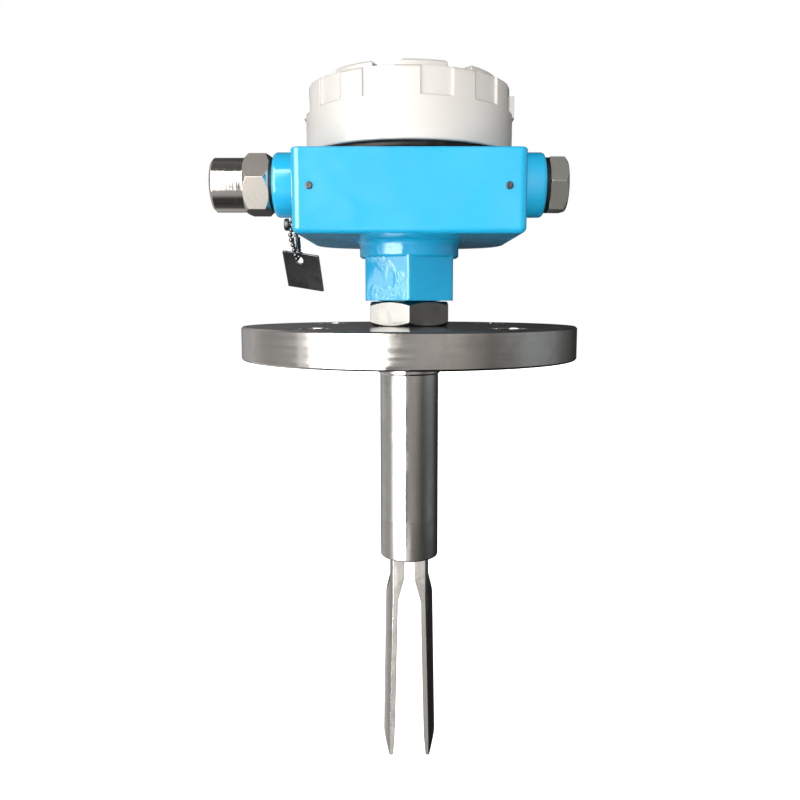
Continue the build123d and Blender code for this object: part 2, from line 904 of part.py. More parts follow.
spigot_clear = cable_thread_diameter / 2 + slip_fit
conduit_washer = tube_piece(conduit_seat, washer_radius, spigot_clear, conduit_washer_thickness)
save("conduit_washer", conduit_washer)

# Blind plug on the right
plug_seat = side_plane(boss_reach, 0, boss_level, 1)
plug_face = plug_seat.offset(plug_washer_thickness)
plug_hexagon = hexagon_bar(
    plug_face,
    plug_flats,
    plug_hex_length,
    plug_inner_bevel,
    plug_bevel,
    plug_turn,
    bevel_slope=plug_bevel_slope,
)
with BuildPart() as blind_plug:
    add(plug_hexagon)
    with BuildSketch(plug_face):
        Circle(cable_thread_diameter / 2 - thread_fit)
    extrude(amount=-plug_spigot_length)
save("blind_plug", blind_plug.part)

plug_washer = tube_piece(plug_seat, washer_radius, spigot_clear, plug_washer_thickness)
save("plug_washer", plug_washer)

# Outer ground screw: the tag's chain hangs between its head and its washer
ground_washer = tube_piece(
    ground_seat, ground_washer_radius, ground_shank_radius + slip_fit, ground_washer_thickness
)
save("ground_washer", ground_washer)

head_lift = ground_washer_thickness + chain_room
ground_screw = slotted_screw(
    ground_seat,
    ground_head_radius,
    ground_head_height,
    ground_shank_radius,
    ground_shank_length,
    ground_slot,
    head_lift,
)
save("ground_screw", ground_screw)

# Tag plate, hung by the hole near its top edge and turned as it hangs in the photo
hook_x = -side_wall - ground_washer_thickness - chain_room / 2
tag_hole = Vector(hook_x + tag_hole_right, -ground_offset + tag_hole_front, ground_level - tag_drop)


def as_hung(direction):
    """A direction of the upright tag, turned to where it hangs."""
    tilted = Vector(*direction).rotate(Axis.Y, tag_tilt).rotate(Axis.X, tag_lean)
    return tilted.rotate(Axis.Z, tag_turn)


tag_frame = Plane(tag_hole, x_dir=as_hung((1, 0, 0)), z_dir=as_hung((0, -1, 0)))
with BuildPart() as tag_plate:
    with BuildSketch(tag_frame):
        with Locations((tag_hole_side, tag_hole_below_edge - tag_size / 2)):
            RectangleRounded(tag_size, tag_size, tag_corner)
        Circle(tag_hole_radius, mode=Mode.SUBTRACT)
    extrude(amount=tag_thickness / 2, both=True)
save("tag_plate", tag_plate.part)

# Chain: a closed loop of beads on pins, from the tag's hole up behind, over the screw
# and down in front
hang_radius = ground_shank_radius + bead_radius + running_fit
hang_side = hang_radius * sin(radians(45))


def by_tag(up, out):
    """A point near the tag's hole: up along the plate, and out of its front face."""
    return tuple(tag_hole + tag_frame.y_dir * up + tag_frame.z_dir * out)


def by_screw(x, y, z):
    """A point near the ground screw: from the middle of the chain's place on it."""
    return (hook_x + x, -ground_offset + y, ground_level + z)


chain_line = Spline(
    by_tag(0.9, 0),
    by_tag(1.5, -2.1),
    by_screw(1.6, 2.0, -10.6),
    by_screw(0.9, 2.6, -6.4),
    by_screw(0, hang_radius, 0),
    by_screw(0, hang_side, hang_side),
    by_screw(0, 0, hang_radius),
    by_screw(0, -hang_side, hang_side),
    by_screw(0, -hang_radius, 0),
    by_screw(-0.9, -hang_radius - 0.9, -5.4),
    by_screw(0.3, -hang_radius - 0.9, -10.0),
    by_tag(3.9, 2.8),
    by_tag(1.5, 2.1),
    periodic=True,
)
bead_count = round(chain_line.length / bead_pitch)
bead_step = chain_line.length / bead_count
bead_places = [
    chain_line.position_at(i * bead_step, position_mode=PositionMode.LENGTH) for i in range(bead_count)
]


def chain_pin(start, end):
    """The short wire between two beads."""
    pin = Plane(start, z_dir=end - start)
    return tube_piece(pin, chain_pin_radius, 0, (end - start).length)


# The first place is inside the tag's hole, where only the wire passes
chain_pins = [
    chain_pin(bead_places[i], bead_places[(i + 1) % bead_count]) for i in range(bead_count)
]
with BuildPart() as tag_chain:
    for place in bead_places[1:]:
        with Locations(place):
            Sphere(bead_radius)
    add(chain_pins)
save("tag_chain", tag_chain.part)

# Connector: an open clip that holds two beads of the chain
first_bead = round(connector_start / bead_step)
connector_line = bead_places[first_bead + 1] - bead_places[first_bead]
connector_base = Plane(bead_places[first_bead], z_dir=connector_line)
chain_connector = tube_piece(
    connector_base.offset((connector_line.length - connector_length) / 2),
    connector_radius,
    connector_radius - connector_wall,
    connector_length,
)
save("chain_connector", chain_connector)

# Electronics case: a round tray on two standoffs
board_radius = case_radius - case_wall - slip_fit
with BuildPart() as electronics_case:
    with BuildSketch(section_of(Plane.XY)):
        with BuildLine():
            Polyline(
                (cable_hole_diameter / 2, case_bottom),
                (case_radius, case_bottom),
                (case_radius, case_top),
                (case_radius - case_wall, case_top),
                (case_radius - case_wall, board_bottom),
                (case_radius - case_wall - board_ledge, board_bottom),
                (case_radius - case_wall - board_ledge, case_bottom + case_floor),
                (cable_hole_diameter / 2, case_bottom + case_floor),
                close=True,
            )
        make_face()
    revolve(axis=Axis.Z)
    with Locations((-module_screw_offset, 0, case_bottom), (module_screw_offset, 0, case_bottom)):
        Cylinder(
            module_post_radius,
            board_bottom - case_bottom,
            align=(Align.CENTER, Align.CENTER, Align.MIN),
        )
    with Locations((-module_screw_offset, 0, board_bottom), (module_screw_offset, 0, board_bottom)):
        Hole(module_screw_radius + slip_fit)
save("electronics_case", electronics_case.part)

with BuildPart() as circuit_board:
    with BuildSketch(Plane.XY.offset(board_bottom)):
        Circle(board_radius)
        with Locations((-module_screw_offset, 0), (module_screw_offset, 0)):
            Circle(module_screw_radius + slip_fit, mode=Mode.SUBTRACT)
        Rectangle(board_slot_width, board_slot_length, mode=Mode.SUBTRACT)
    extrude(amount=board_thickness)
save("circuit_board", circuit_board.part)

with BuildPart() as module_screws:
    for x in (-1, 1):
        add(slotted_screw(
            Plane((x * module_screw_offset, 0, board_top)),
            module_head_radius,
            module_head_height,
            module_screw_radius,
            board_top - case_bottom + module_screw_bite,
            module_screw_slot,
        ))
save("module_screws", module_screws.part)

# Terminal block with its clamps and screws
terminal_front = -terminal_offset - terminal_depth / 2
terminal_top = board_top + terminal_height
entry_level = board_top + terminal_entry_height + terminal_entry / 2
way_places = [(i - (terminal_count - 1) / 2) * terminal_pitch for i in range(terminal_count)]
clamp_size = terminal_entry - 2 * slip_fit
screw_line = terminal_front + terminal_entry_depth - clamp_length / 2 - hole_relief
clamp_top = entry_level + clamp_size / 2
with BuildPart() as terminal_block:
    with Locations((0, -terminal_offset, board_top)):
        Box(
            terminal_count * terminal_pitch + 1,
            terminal_depth,
            terminal_height,
            align=(Align.CENTER, Align.CENTER, Align.MIN),
        )
    for x in way_places:
        with BuildSketch(Plane((x, terminal_front, entry_level), x_dir=(1, 0, 0), z_dir=(0, -1, 0))):
            Rectangle(terminal_entry, terminal_entry)
        extrude(amount=-terminal_entry_depth, mode=Mode.SUBTRACT)
    with Locations(*[(x, screw_line, terminal_top) for x in way_places]):
        Hole(terminal_head_radius + slip_fit, depth=terminal_top - entry_level)
save("terminal_block", terminal_block.part)

with BuildPart() as terminal_clamps:
    for x in way_places:
        with BuildSketch(Plane((x, screw_line, entry_level), x_dir=(1, 0, 0), z_dir=(0, -1, 0))):
            Rectangle(clamp_size, clamp_size)
            Rectangle(clamp_size - 2 * clamp_wall, clamp_size - 2 * clamp_wall, mode=Mode.SUBTRACT)
        extrude(amount=clamp_length / 2, both=True)
save("terminal_clamps", terminal_clamps.part)

with BuildPart() as terminal_screws:
    for x in way_places:
        head_top_level = terminal_top - terminal_head_sink
        with Locations((x, screw_line, clamp_top)):
            Cylinder(
                terminal_head_radius,
                head_top_level - clamp_top,
                align=(Align.CENTER, Align.CENTER, Align.MIN),
            )
        with BuildSketch(Plane((x, screw_line, head_top_level))):
            Rectangle(terminal_slot, 2 * terminal_head_radius + 1)
        extrude(amount=-terminal_slot_depth, mode=Mode.SUBTRACT)
save("terminal_screws", terminal_screws.part)

# Relay, capacitor and sensor connector on the board
with BuildPart() as relay:
    with Locations((*relay_centre, board_top)):
        Box(*relay_size, align=(Align.CENTER, Align.CENTER, Align.MIN))
    fillet(relay.edges().filter_by(Axis.Z), relay_side_edge)
    fillet(relay.edges().group_by(Axis.Z)[-1], relay_top_edge)
save("relay", relay.part)

capacitor = turned(Plane((*capacitor_centre, board_top)), [
    (0, 0),
    (capacitor_radius, 0),
    (capacitor_radius, capacitor_groove_level - capacitor_groove_reach),
    (capacitor_radius - capacitor_groove_depth, capacitor_groove_level),
    (capacitor_radius, capacitor_groove_level + capacitor_groove_reach),
    (capacitor_radius, capacitor_height - capacitor_edge),
    (capacitor_radius - capacitor_edge, capacitor_height),
    (0, capacitor_height),
])
save("capacitor", capacitor)

with BuildPart() as sensor_connector:
    with Locations((0, 0, board_top)):
        Box(*connector_size, align=(Align.CENTER, Align.CENTER, Align.MIN))
    with Locations((wire_spread, 0, board_top), (-wire_spread, 0, board_top)):
        Cylinder(
            wire_radius + thread_fit,
            wire_top - board_top + slip_fit,
            align=(Align.CENTER, Align.CENTER, Align.MIN),
            mode=Mode.SUBTRACT,
        )
save("sensor_connector", sensor_connector.part)

# Mode switch with its slider at the left end of the slot
mode_top = board_top + mode_size[2]
slider_start = mode_centre[0] - mode_slot[0] / 2 + slider_play + slider_size[0] / 2
with BuildPart() as mode_switch:
    with Locations((*mode_centre, board_top)):
        Box(*mode_size, align=(Align.CENTER, Align.CENTER, Align.MIN))
    with BuildSketch(Plane((*mode_centre, mode_top))):
        Rectangle(*mode_slot)
    extrude(amount=-mode_slot_depth, mode=Mode.SUBTRACT)
save("mode_switch", mode_switch.part)

with BuildPart() as mode_slider:
    with Locations((slider_start, mode_centre[1], mode_top - mode_slot_depth + slider_play)):
        Box(*slider_size, align=(Align.CENTER, Align.CENTER, Align.MIN))
    fillet(mode_slider.edges().group_by(Axis.Z)[-1], slider_edge)
save("mode_slider", mode_slider.part)

# Sensitivity dial with a slotted rotor
dial_top = board_top + dial_size[2]
with BuildPart() as sensitivity_dial:
    with Locations((*dial_centre, board_top)):
        Box(*dial_size, align=(Align.CENTER, Align.CENTER, Align.MIN))
    with Locations((*dial_centre, dial_top)):
        Hole(dial_radius + slip_fit, depth=dial_recess_depth)
save("sensitivity_dial", sensitivity_dial.part)

rotor_base = Plane((*dial_centre, dial_top - dial_recess_depth + slip_fit))
with BuildPart() as dial_rotor:
    add(turned(rotor_base, [
        (0, 0),
        (dial_radius, 0),
        (dial_radius, dial_height - dial_edge),
        (dial_radius - dial_edge, dial_height),
        (0, dial_height),
    ]))
    with BuildSketch(rotor_base.offset(dial_height)):
        Rectangle(dial_slot, 2 * dial_radius + 1)
    extrude(amount=-dial_slot_depth, mode=Mode.SUBTRACT)
save("dial_rotor", dial_rotor.part)

# Status lamps
for name, centre in zip(("power_lamp", "alarm_lamp"), lamp_centres):
    with BuildPart() as lamp:
        with BuildSketch(section_of(Plane((*centre, board_top)))):
            with BuildLine():
                Polyline(
                    (0, lamp_height),
                    (0, 0),
                    (lamp_base_radius, 0),
                    (lamp_base_radius, lamp_base_height),
                    (lamp_radius, lamp_base_height),
                    (lamp_radius, lamp_height - lamp_radius),
                )
                RadiusArc((lamp_radius, lamp_height - lamp_radius), (0, lamp_height), -lamp_radius)
            make_face()
        revolve(axis=Axis((*centre, 0), (0, 0, 1)))
    save(name, lamp.part)

# Inner ground screw on its post
inner_ground_washer = tube_piece(
    inner_ground_seat,
    inner_ground_washer_radius,
    inner_ground_shank_radius + slip_fit,
    inner_ground_washer_thickness,
)
save("inner_ground_washer", inner_ground_washer)

inner_ground_screw = slotted_screw(
    inner_ground_seat,
    inner_ground_head_radius,
    inner_ground_head_height,
    inner_ground_shank_radius,
    inner_ground_shank_length,
    inner_ground_slot,
    inner_ground_washer_thickness,
)
save("inner_ground_screw", inner_ground_screw)
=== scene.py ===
"""Looks of the tuning fork level switch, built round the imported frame.

Every size is in metres unless a name ends in _mm. A right-hand thread of the
same pitch as the joint's travel runs on the cover and on the blind plug.
"""

import sys

import json
import logging
import math
from dataclasses import dataclass, field
from enum import Enum
from functools import cache, cached_property
from typing import Optional, Sequence, Union

import bmesh
import bpy
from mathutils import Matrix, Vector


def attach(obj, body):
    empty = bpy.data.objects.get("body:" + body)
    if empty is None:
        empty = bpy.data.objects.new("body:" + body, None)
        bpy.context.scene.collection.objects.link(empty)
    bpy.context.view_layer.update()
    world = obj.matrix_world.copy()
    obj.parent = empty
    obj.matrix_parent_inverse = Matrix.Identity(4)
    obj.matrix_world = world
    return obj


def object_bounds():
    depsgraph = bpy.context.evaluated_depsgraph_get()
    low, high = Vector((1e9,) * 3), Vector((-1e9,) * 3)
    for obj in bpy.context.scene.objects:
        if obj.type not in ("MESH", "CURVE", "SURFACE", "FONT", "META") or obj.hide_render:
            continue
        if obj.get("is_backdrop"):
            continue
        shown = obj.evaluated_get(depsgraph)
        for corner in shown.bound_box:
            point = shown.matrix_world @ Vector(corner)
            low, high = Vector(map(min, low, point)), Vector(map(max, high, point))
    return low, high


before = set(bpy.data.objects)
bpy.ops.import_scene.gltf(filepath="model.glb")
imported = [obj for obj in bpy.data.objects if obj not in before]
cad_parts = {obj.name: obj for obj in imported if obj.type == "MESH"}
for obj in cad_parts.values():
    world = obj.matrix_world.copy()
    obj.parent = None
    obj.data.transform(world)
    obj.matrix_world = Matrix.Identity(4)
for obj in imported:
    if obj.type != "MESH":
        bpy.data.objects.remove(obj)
cad_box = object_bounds()

Colour = tuple[float, float, float]
Point = tuple[float, float, float]
Range = tuple[float, float]
Socket = bpy.types.NodeSocket
Value = Union[float, Socket]
Key = Union[int, str]
MM = 0.001
WHITE: Colour = (1.0, 1.0, 1.0)
ENTRIES_MM: Point = (0.0, 0.0, 86.5)

# How much of a noise pattern's middle is stretched over the full range.
MIDDLE: Range = (0.35, 0.65)
WIDE: Range = (0.3, 0.7)

log = logging.getLogger("level_switch")


class Along(Enum):
    """The two directions that pieces are turned or drawn along."""

    X = (1.0, 0.0, 0.0)
    Z = (0.0, 0.0, 1.0)


class Cut(Enum):
    """How a steel surface was made."""

    TURNED = "turned"
    DRAWN = "drawn"
    BLASTED = "blasted"


# Shader wiring


class Wiring:
    """Adds nodes to one node tree and joins them."""

    def __init__(self, tree: bpy.types.NodeTree) -> None:
        """Keeps the tree that the nodes go into.

        Args:
            tree: the node tree of a material, a world or a group.
        """
        self.tree = tree
        self.count = 0

    def node(self, kind: str, **settings: object) -> bpy.types.Node:
        """Adds one node.

        Args:
            kind: Blender's name for the node's type.
            settings: attributes of the node to set.

        Returns:
            The new node.
        """
        new = self.tree.nodes.new(kind)
        for name, value in settings.items():
            setattr(new, name, value)
        new.location = (170 * (self.count % 12), -220 * (self.count // 12))
        self.count += 1
        return new

    def feed(self, socket: Socket, value: object) -> None:
        """Joins a socket to another one, or sets its own value.

        Args:
            socket: the input to feed.
            value: an output socket, a number, a vector or a colour.
        """
        if isinstance(value, bpy.types.NodeSocket):
            self.tree.links.new(value, socket)
        elif socket.type == "RGBA" and len(value) == 3:
            socket.default_value = (*value, 1.0)
        else:
            socket.default_value = value

    def feed_all(self, node: bpy.types.Node, values: dict[Key, object]) -> None:
        """Feeds several inputs of a node.

        Args:
            node: the node to feed.
            values: what goes into each input, by the input's name or number.
        """
        for key, value in values.items():
            self.feed(node.inputs[key], value)

    def result(
        self, kind: str, values: dict[Key, object], output: Key = 0, **settings: object
    ) -> Socket:
        """Adds one node, feeds it and gives one of its outputs.

        Args:
            kind: Blender's name for the node's type.
            values: what goes into each input, by the input's name or number.
            output: the output's name or number.
            settings: attributes of the node to set.

        Returns:
            The output's socket.
        """
        new = self.node(kind, **settings)
        self.feed_all(new, values)
        return new.outputs[output]

    def math(
        self, operation: str, first: Value, second: Value = 0.0, clamp: bool = False
    ) -> Socket:
        """Works out one number from two.

        Args:
            operation: Blender's name for the operation.
            first: the first number.
            second: the second number, where the operation has one.
            clamp: keeps the result between 0 and 1.

        Returns:
            The result's socket.
        """
        given = {0: first, 1: second}
        return self.result("ShaderNodeMath", given, operation=operation, use_clamp=clamp)

    def vector(
        self, operation: str, first: object, second: object = None, scale: Value = 1.0
    ) -> Socket:
        """Works out one vector, or one number from vectors.

        Args:
            operation: Blender's name for the operation.
            first: the first vector.
            second: the second vector, where the operation has one.
            scale: the factor, where the operation has one.

        Returns:
            The result's socket, a number for DOT_PRODUCT and LENGTH.
        """
        given: dict[Key, object] = {0: first} if second is None else {0: first, 1: second}
        if operation == "SCALE":
            given["Scale"] = scale
        output = "Value" if operation in ("DOT_PRODUCT", "LENGTH") else "Vector"
        return self.result("ShaderNodeVectorMath", given, output, operation=operation)

    def split(self, vector: Socket) -> bpy.types.NodeOutputs:
        """Splits a vector into its X, Y and Z.

        Args:
            vector: the vector to split.

        Returns:
            The outputs X, Y and Z.
        """
        new = self.node("ShaderNodeSeparateXYZ")
        self.feed(new.inputs[0], vector)
        return new.outputs

    def noise(
        self,
        vector: Socket,
        scale: Value,
        detail: float = 2.0,
        rough: float = 0.5,
        twist: float = 0.0,
    ) -> Socket:
        """Adds a soft random pattern.

        Args:
            vector: where the pattern is read.
            scale: cells per unit of the vector.
            detail: number of finer layers.
            rough: strength of the finer layers.
            twist: how far the pattern is distorted.

        Returns:
            A value from 0 to 1, mostly near 0.5.
        """
        names = ("Vector", "Scale", "Detail", "Roughness", "Distortion")
        given = dict(zip(names, (vector, scale, detail, rough, twist)))
        return self.result("ShaderNodeTexNoise", given, "Fac")

    def spread(
        self, value: Socket, low: Value, high: Value, to_low: Value = 0.0, to_high: Value = 1.0
    ) -> Socket:
        """Maps one range of a value smoothly onto another.

        Args:
            value: the value to map.
            low: where the source range starts.
            high: where the source range ends.
            to_low: the result at and before low.
            to_high: the result at and beyond high.

        Returns:
            The mapped value's socket.
        """
        names = ("Value", "From Min", "From Max", "To Min", "To Max")
        given = dict(zip(names, (value, low, high, to_low, to_high)))
        return self.result("ShaderNodeMapRange", given, interpolation_type="SMOOTHSTEP")

    def blend(self, share: Value, first: object, second: object) -> Socket:
        """Mixes two colours.

        Args:
            share: 0 gives the first colour and 1 the second.
            first: the first colour.
            second: the second colour.

        Returns:
            The mixed colour's socket.
        """
        given = {0: share, 6: first, 7: second}
        return self.result("ShaderNodeMix", given, 2, data_type="RGBA")

    def between(self, share: Value, first: Value, second: Value) -> Socket:
        """Mixes two numbers.

        Args:
            share: 0 gives the first number and 1 the second.
            first: the first number.
            second: the second number.

        Returns:
            The mixed number's socket.
        """
        return self.result("ShaderNodeMix", {0: share, 2: first, 3: second}, data_type="FLOAT")

    def bump(self, height: Socket, depth_mm: float, normal: Socket) -> Socket:
        """Turns a height into a normal.

        Args:
            height: the height, from 0 to 1.
            depth_mm: what a height of 1 stands for.
            normal: the normal that the bump adds to.

        Returns:
            The new normal's socket.
        """
        given = {"Strength": 1.0, "Distance": depth_mm * MM, "Height": height, "Normal": normal}
        return self.result("ShaderNodeBump", given, "Normal")

    def effect(self, group: bpy.types.NodeTree, **values: object) -> bpy.types.NodeOutputs:
        """Places a shared effect with its own values.

        Args:
            group: the shared node group.
            values: input values by name, with _ for a space.

        Returns:
            The group's outputs.
        """
        new = self.node("ShaderNodeGroup", node_tree=group)
        self.feed_all(new, {name.replace("_", " "): value for name, value in values.items()})
        return new.outputs


def new_group(
    name: str, inputs: dict[str, object], outputs: dict[str, str]
) -> tuple[Wiring, bpy.types.NodeOutputs, bpy.types.Node]:
    """Starts a shared node group.

    Args:
        name: the group's name.
        inputs: each input's name and usual value, a number or a vector.
        outputs: each output's name and kind, Float, Vector or Color.

    Returns:
        The wiring of the group, its given values and its output node.
    """
    tree = bpy.data.node_groups.new(name, "ShaderNodeTree")
    for title, usual in inputs.items():
        kind = "Float" if isinstance(usual, float) else "Vector"
        made = tree.interface.new_socket(title, in_out="INPUT", socket_type=f"NodeSocket{kind}")
        made.default_value = usual
    for title, kind in outputs.items():
        tree.interface.new_socket(title, in_out="OUTPUT", socket_type=f"NodeSocket{kind}")
    wiring = Wiring(tree)
    return wiring, wiring.node("NodeGroupInput").outputs, wiring.node("NodeGroupOutput")


class SharedEffects:
    """The effects that more than one finish uses, each built once."""

    bevel_samples: int = 6
    bend_range: Range = (0.01, 0.12)
    edge_patches_per_mm: float = 1.1
    lathe_feed: float = 1.17
    lathe_drift_per_mm: float = 0.05
    band_share: float = 0.13
    broad_share: float = 0.12
    speck_share: float = 0.45
    speck_range: Range = (0.69, 0.74)
    hair_bends: float = 0.8
    hair_cells: float = 1.3
    hair_width: float = 0.012
    hair_patches: float = 0.9
    hair_range: Range = (0.52, 0.6)
    tone_per_mm: float = 0.05

    @cached_property
    def edge_wear_and_shading(self) -> bpy.types.NodeTree:
        """Rounds sharp edges a little and marks them. Finishes tint the marked edges: painted
        highlight and shade on steel and paint, and the bare edge of the board.

        Returns:
            The node group.
        """
        w, given, out = new_group(
            "Edge wear and shading",
            {"Radius mm": 0.4, "Spread": 1.0, "Break up": 0.5},
            {"Mask": "Float", "Normal": "Vector"},
        )
        radius = w.math("MULTIPLY", given["Radius mm"], MM)
        rounded = w.result("ShaderNodeBevel", {"Radius": radius}, samples=self.bevel_samples)
        flat = w.node("ShaderNodeNewGeometry").outputs["Normal"]
        turn = w.vector("DOT_PRODUCT", rounded, flat)
        edge = w.spread(w.math("SUBTRACT", 1.0, turn), *self.bend_range)
        spots = w.noise(self.place(w), self.edge_patches_per_mm, detail=4.0, rough=0.6)
        patches = w.spread(spots, *MIDDLE)
        kept = w.between(given["Break up"], 1.0, patches)
        mask = w.math("MULTIPLY", w.math("MULTIPLY", edge, kept), given["Spread"], True)
        w.feed_all(out, {"Mask": mask, "Normal": rounded})
        return w.tree

    @cached_property
    def turning_marks(self) -> bpy.types.NodeTree:
        """Fine lines round an axis, as a lathe tool leaves them.

        Returns:
            The node group.
        """
        w, given, out = new_group(
            "Turning marks",
            {"Centre mm": (0.0, 0.0, 0.0), "Axis": (0.0, 0.0, 1.0), "Lines per mm": 4.0},
            {"Lines": "Float", "Bands": "Float"},
        )
        here = w.vector("SUBTRACT", self.place(w), given["Centre mm"])
        height = w.vector("DOT_PRODUCT", here, given["Axis"])
        along = w.vector("SCALE", given["Axis"], scale=height)
        off = w.vector("SUBTRACT", here, along)
        radius = w.vector("LENGTH", off)
        path = w.math("ADD", radius, w.math("MULTIPLY", height, self.lathe_feed))
        parts = w.split(w.vector("SCALE", off, scale=self.lathe_drift_per_mm))
        across = w.math("MULTIPLY", path, given["Lines per mm"])
        round_it = w.math("ADD", parts["X"], parts["Z"])
        track = w.result("ShaderNodeCombineXYZ", {0: across, 1: round_it, 2: parts["Y"]})
        lines = w.noise(track, 1.0, rough=0.6)
        bands = w.noise(track, self.band_share, detail=1.0)
        w.feed_all(out, {"Lines": lines, "Bands": bands})
        return w.tree

    @cached_property
    def drawn_streaks(self) -> bpy.types.NodeTree:
        """Long scratches along one direction, as on drawn or milled bar.

        Returns:
            The node group.
        """
        w, given, out = new_group(
            "Drawn streaks",
            {"Axis": (0.0, 0.0, 1.0), "Streaks per mm": 3.0, "Length mm": 12.0},
            {"Streaks": "Float", "Broad": "Float"},
        )
        here = self.place(w)
        height = w.vector("DOT_PRODUCT", here, given["Axis"])
        along = w.vector("SCALE", given["Axis"], scale=height)
        off = w.vector("SUBTRACT", here, along)
        wide = w.vector("SCALE", off, scale=given["Streaks per mm"])
        share = w.math("DIVIDE", 1.0, given["Length mm"])
        slow = w.vector("SCALE", along, scale=share)
        track = w.vector("ADD", wide, slow)
        streaks = w.noise(track, 1.0, rough=0.6)
        broad = w.noise(track, self.broad_share)
        w.feed_all(out, {"Streaks": streaks, "Broad": broad})
        return w.tree

    @cached_property
    def grain(self) -> bpy.types.NodeTree:
        """Fine grit and broad cloudy patches.

        Returns:
            The node group.
        """
        w, given, out = new_group(
            "Grain",
            {"Grit per mm": 3.0, "Cloud mm": 9.0},
            {"Grit": "Float", "Cloud": "Float", "Specks": "Float"},
        )
        here = self.place(w)
        grit = w.noise(here, given["Grit per mm"], detail=3.0, rough=0.6)
        clouds = w.math("DIVIDE", 1.0, given["Cloud mm"])
        cloud = w.noise(here, clouds, detail=4.0, rough=0.55, twist=0.4)
        coarse = w.math("MULTIPLY", given["Grit per mm"], self.speck_share)
        specks = w.spread(w.noise(here, coarse, detail=1.0), *self.speck_range)
        w.feed_all(out, {"Grit": grit, "Cloud": cloud, "Specks": specks})
        return w.tree

    @cached_property
    def scratches(self) -> bpy.types.NodeTree:
        """Stray hairline scratches from handling.

        Returns:
            The node group.
        """
        w, given, out = new_group("Scratches", {"Size mm": 6.0, "Amount": 0.5}, {"Mask": "Float"})
        share = w.math("DIVIDE", 1.0, given["Size mm"])
        here = w.vector("SCALE", self.place(w), scale=share)
        bent = w.result("ShaderNodeTexNoise", {"Vector": here, "Scale": self.hair_bends}, "Color")
        cells = {"Vector": w.vector("ADD", here, bent), "Scale": self.hair_cells}
        gap = w.result("ShaderNodeTexVoronoi", cells, "Distance", feature="DISTANCE_TO_EDGE")
        hair = w.spread(gap, 0.0, self.hair_width, 1.0, 0.0)
        where = w.spread(w.noise(here, self.hair_patches), *self.hair_range)
        mask = w.math("MULTIPLY", w.math("MULTIPLY", hair, where), given["Amount"], True)
        w.feed(out.inputs["Mask"], mask)
        return w.tree

    @cached_property
    def paint_skin(self) -> bpy.types.NodeTree:
        """The slight waves of sprayed powder, and the casting's lumps below.

        Returns:
            The node group.
        """
        w, given, out = new_group(
            "Paint skin",
            {"Wave mm": 1.6, "Lump mm": 4.0, "Lumps": 0.3},
            {"Height": "Float", "Tone": "Float"},
        )
        here = self.place(w)
        waves = w.noise(here, w.math("DIVIDE", 1.0, given["Wave mm"]), detail=1.5, rough=0.4)
        lumps = w.noise(here, w.math("DIVIDE", 1.0, given["Lump mm"]), detail=2.5, twist=0.8)
        height = w.math("ADD", waves, w.math("MULTIPLY", lumps, given["Lumps"]))
        w.feed_all(out, {"Height": height, "Tone": w.noise(here, self.tone_per_mm, detail=3.0)})
        return w.tree

    def place(self, w: Wiring) -> Socket:
        """The point on the piece, in millimetres of the frame.

        Args:
            w: the wiring to add the nodes to.

        Returns:
            The point's vector socket.
        """
        at = w.node("ShaderNodeTexCoord").outputs["Object"]
        return w.vector("SCALE", at, scale=1 / MM)


EFFECTS = SharedEffects()


# Finishes


def shade(colour: Colour, factor: float, lift: float = 0.0) -> Colour:
    """Makes a colour darker or lighter, up to white.

    Args:
        colour: the colour.
        factor: what each part of it is multiplied by.
        lift: what is then added to each part.

    Returns:
        The new colour.
    """
    return tuple(min(1.0, part * factor + lift) for part in colour)


@dataclass(frozen=True)
class Finish:
    """What every finish has: a colour and a roughness."""

    colour: Colour
    roughness: float

    def material(self, name: str) -> bpy.types.Material:
        """Makes the Blender material.

        Args:
            name: the material's name.

        Returns:
            The new material.
        """
        made = bpy.data.materials.new(name)
        made.use_nodes = True
        made.node_tree.nodes.clear()
        w = Wiring(made.node_tree)
        shader = w.result("ShaderNodeBsdfPrincipled", self.inputs(w))
        w.feed(w.node("ShaderNodeOutputMaterial").inputs["Surface"], shader)
        made.diffuse_color = (*self.colour, 1.0)
        return made

    def inputs(self, w: Wiring) -> dict[Key, object]:
        """Works out what feeds the shader. Each kind of finish has its own way.

        Args:
            w: the wiring of the material.

        Returns:
            What goes into each input of the shader.
        """
        raise NotImplementedError


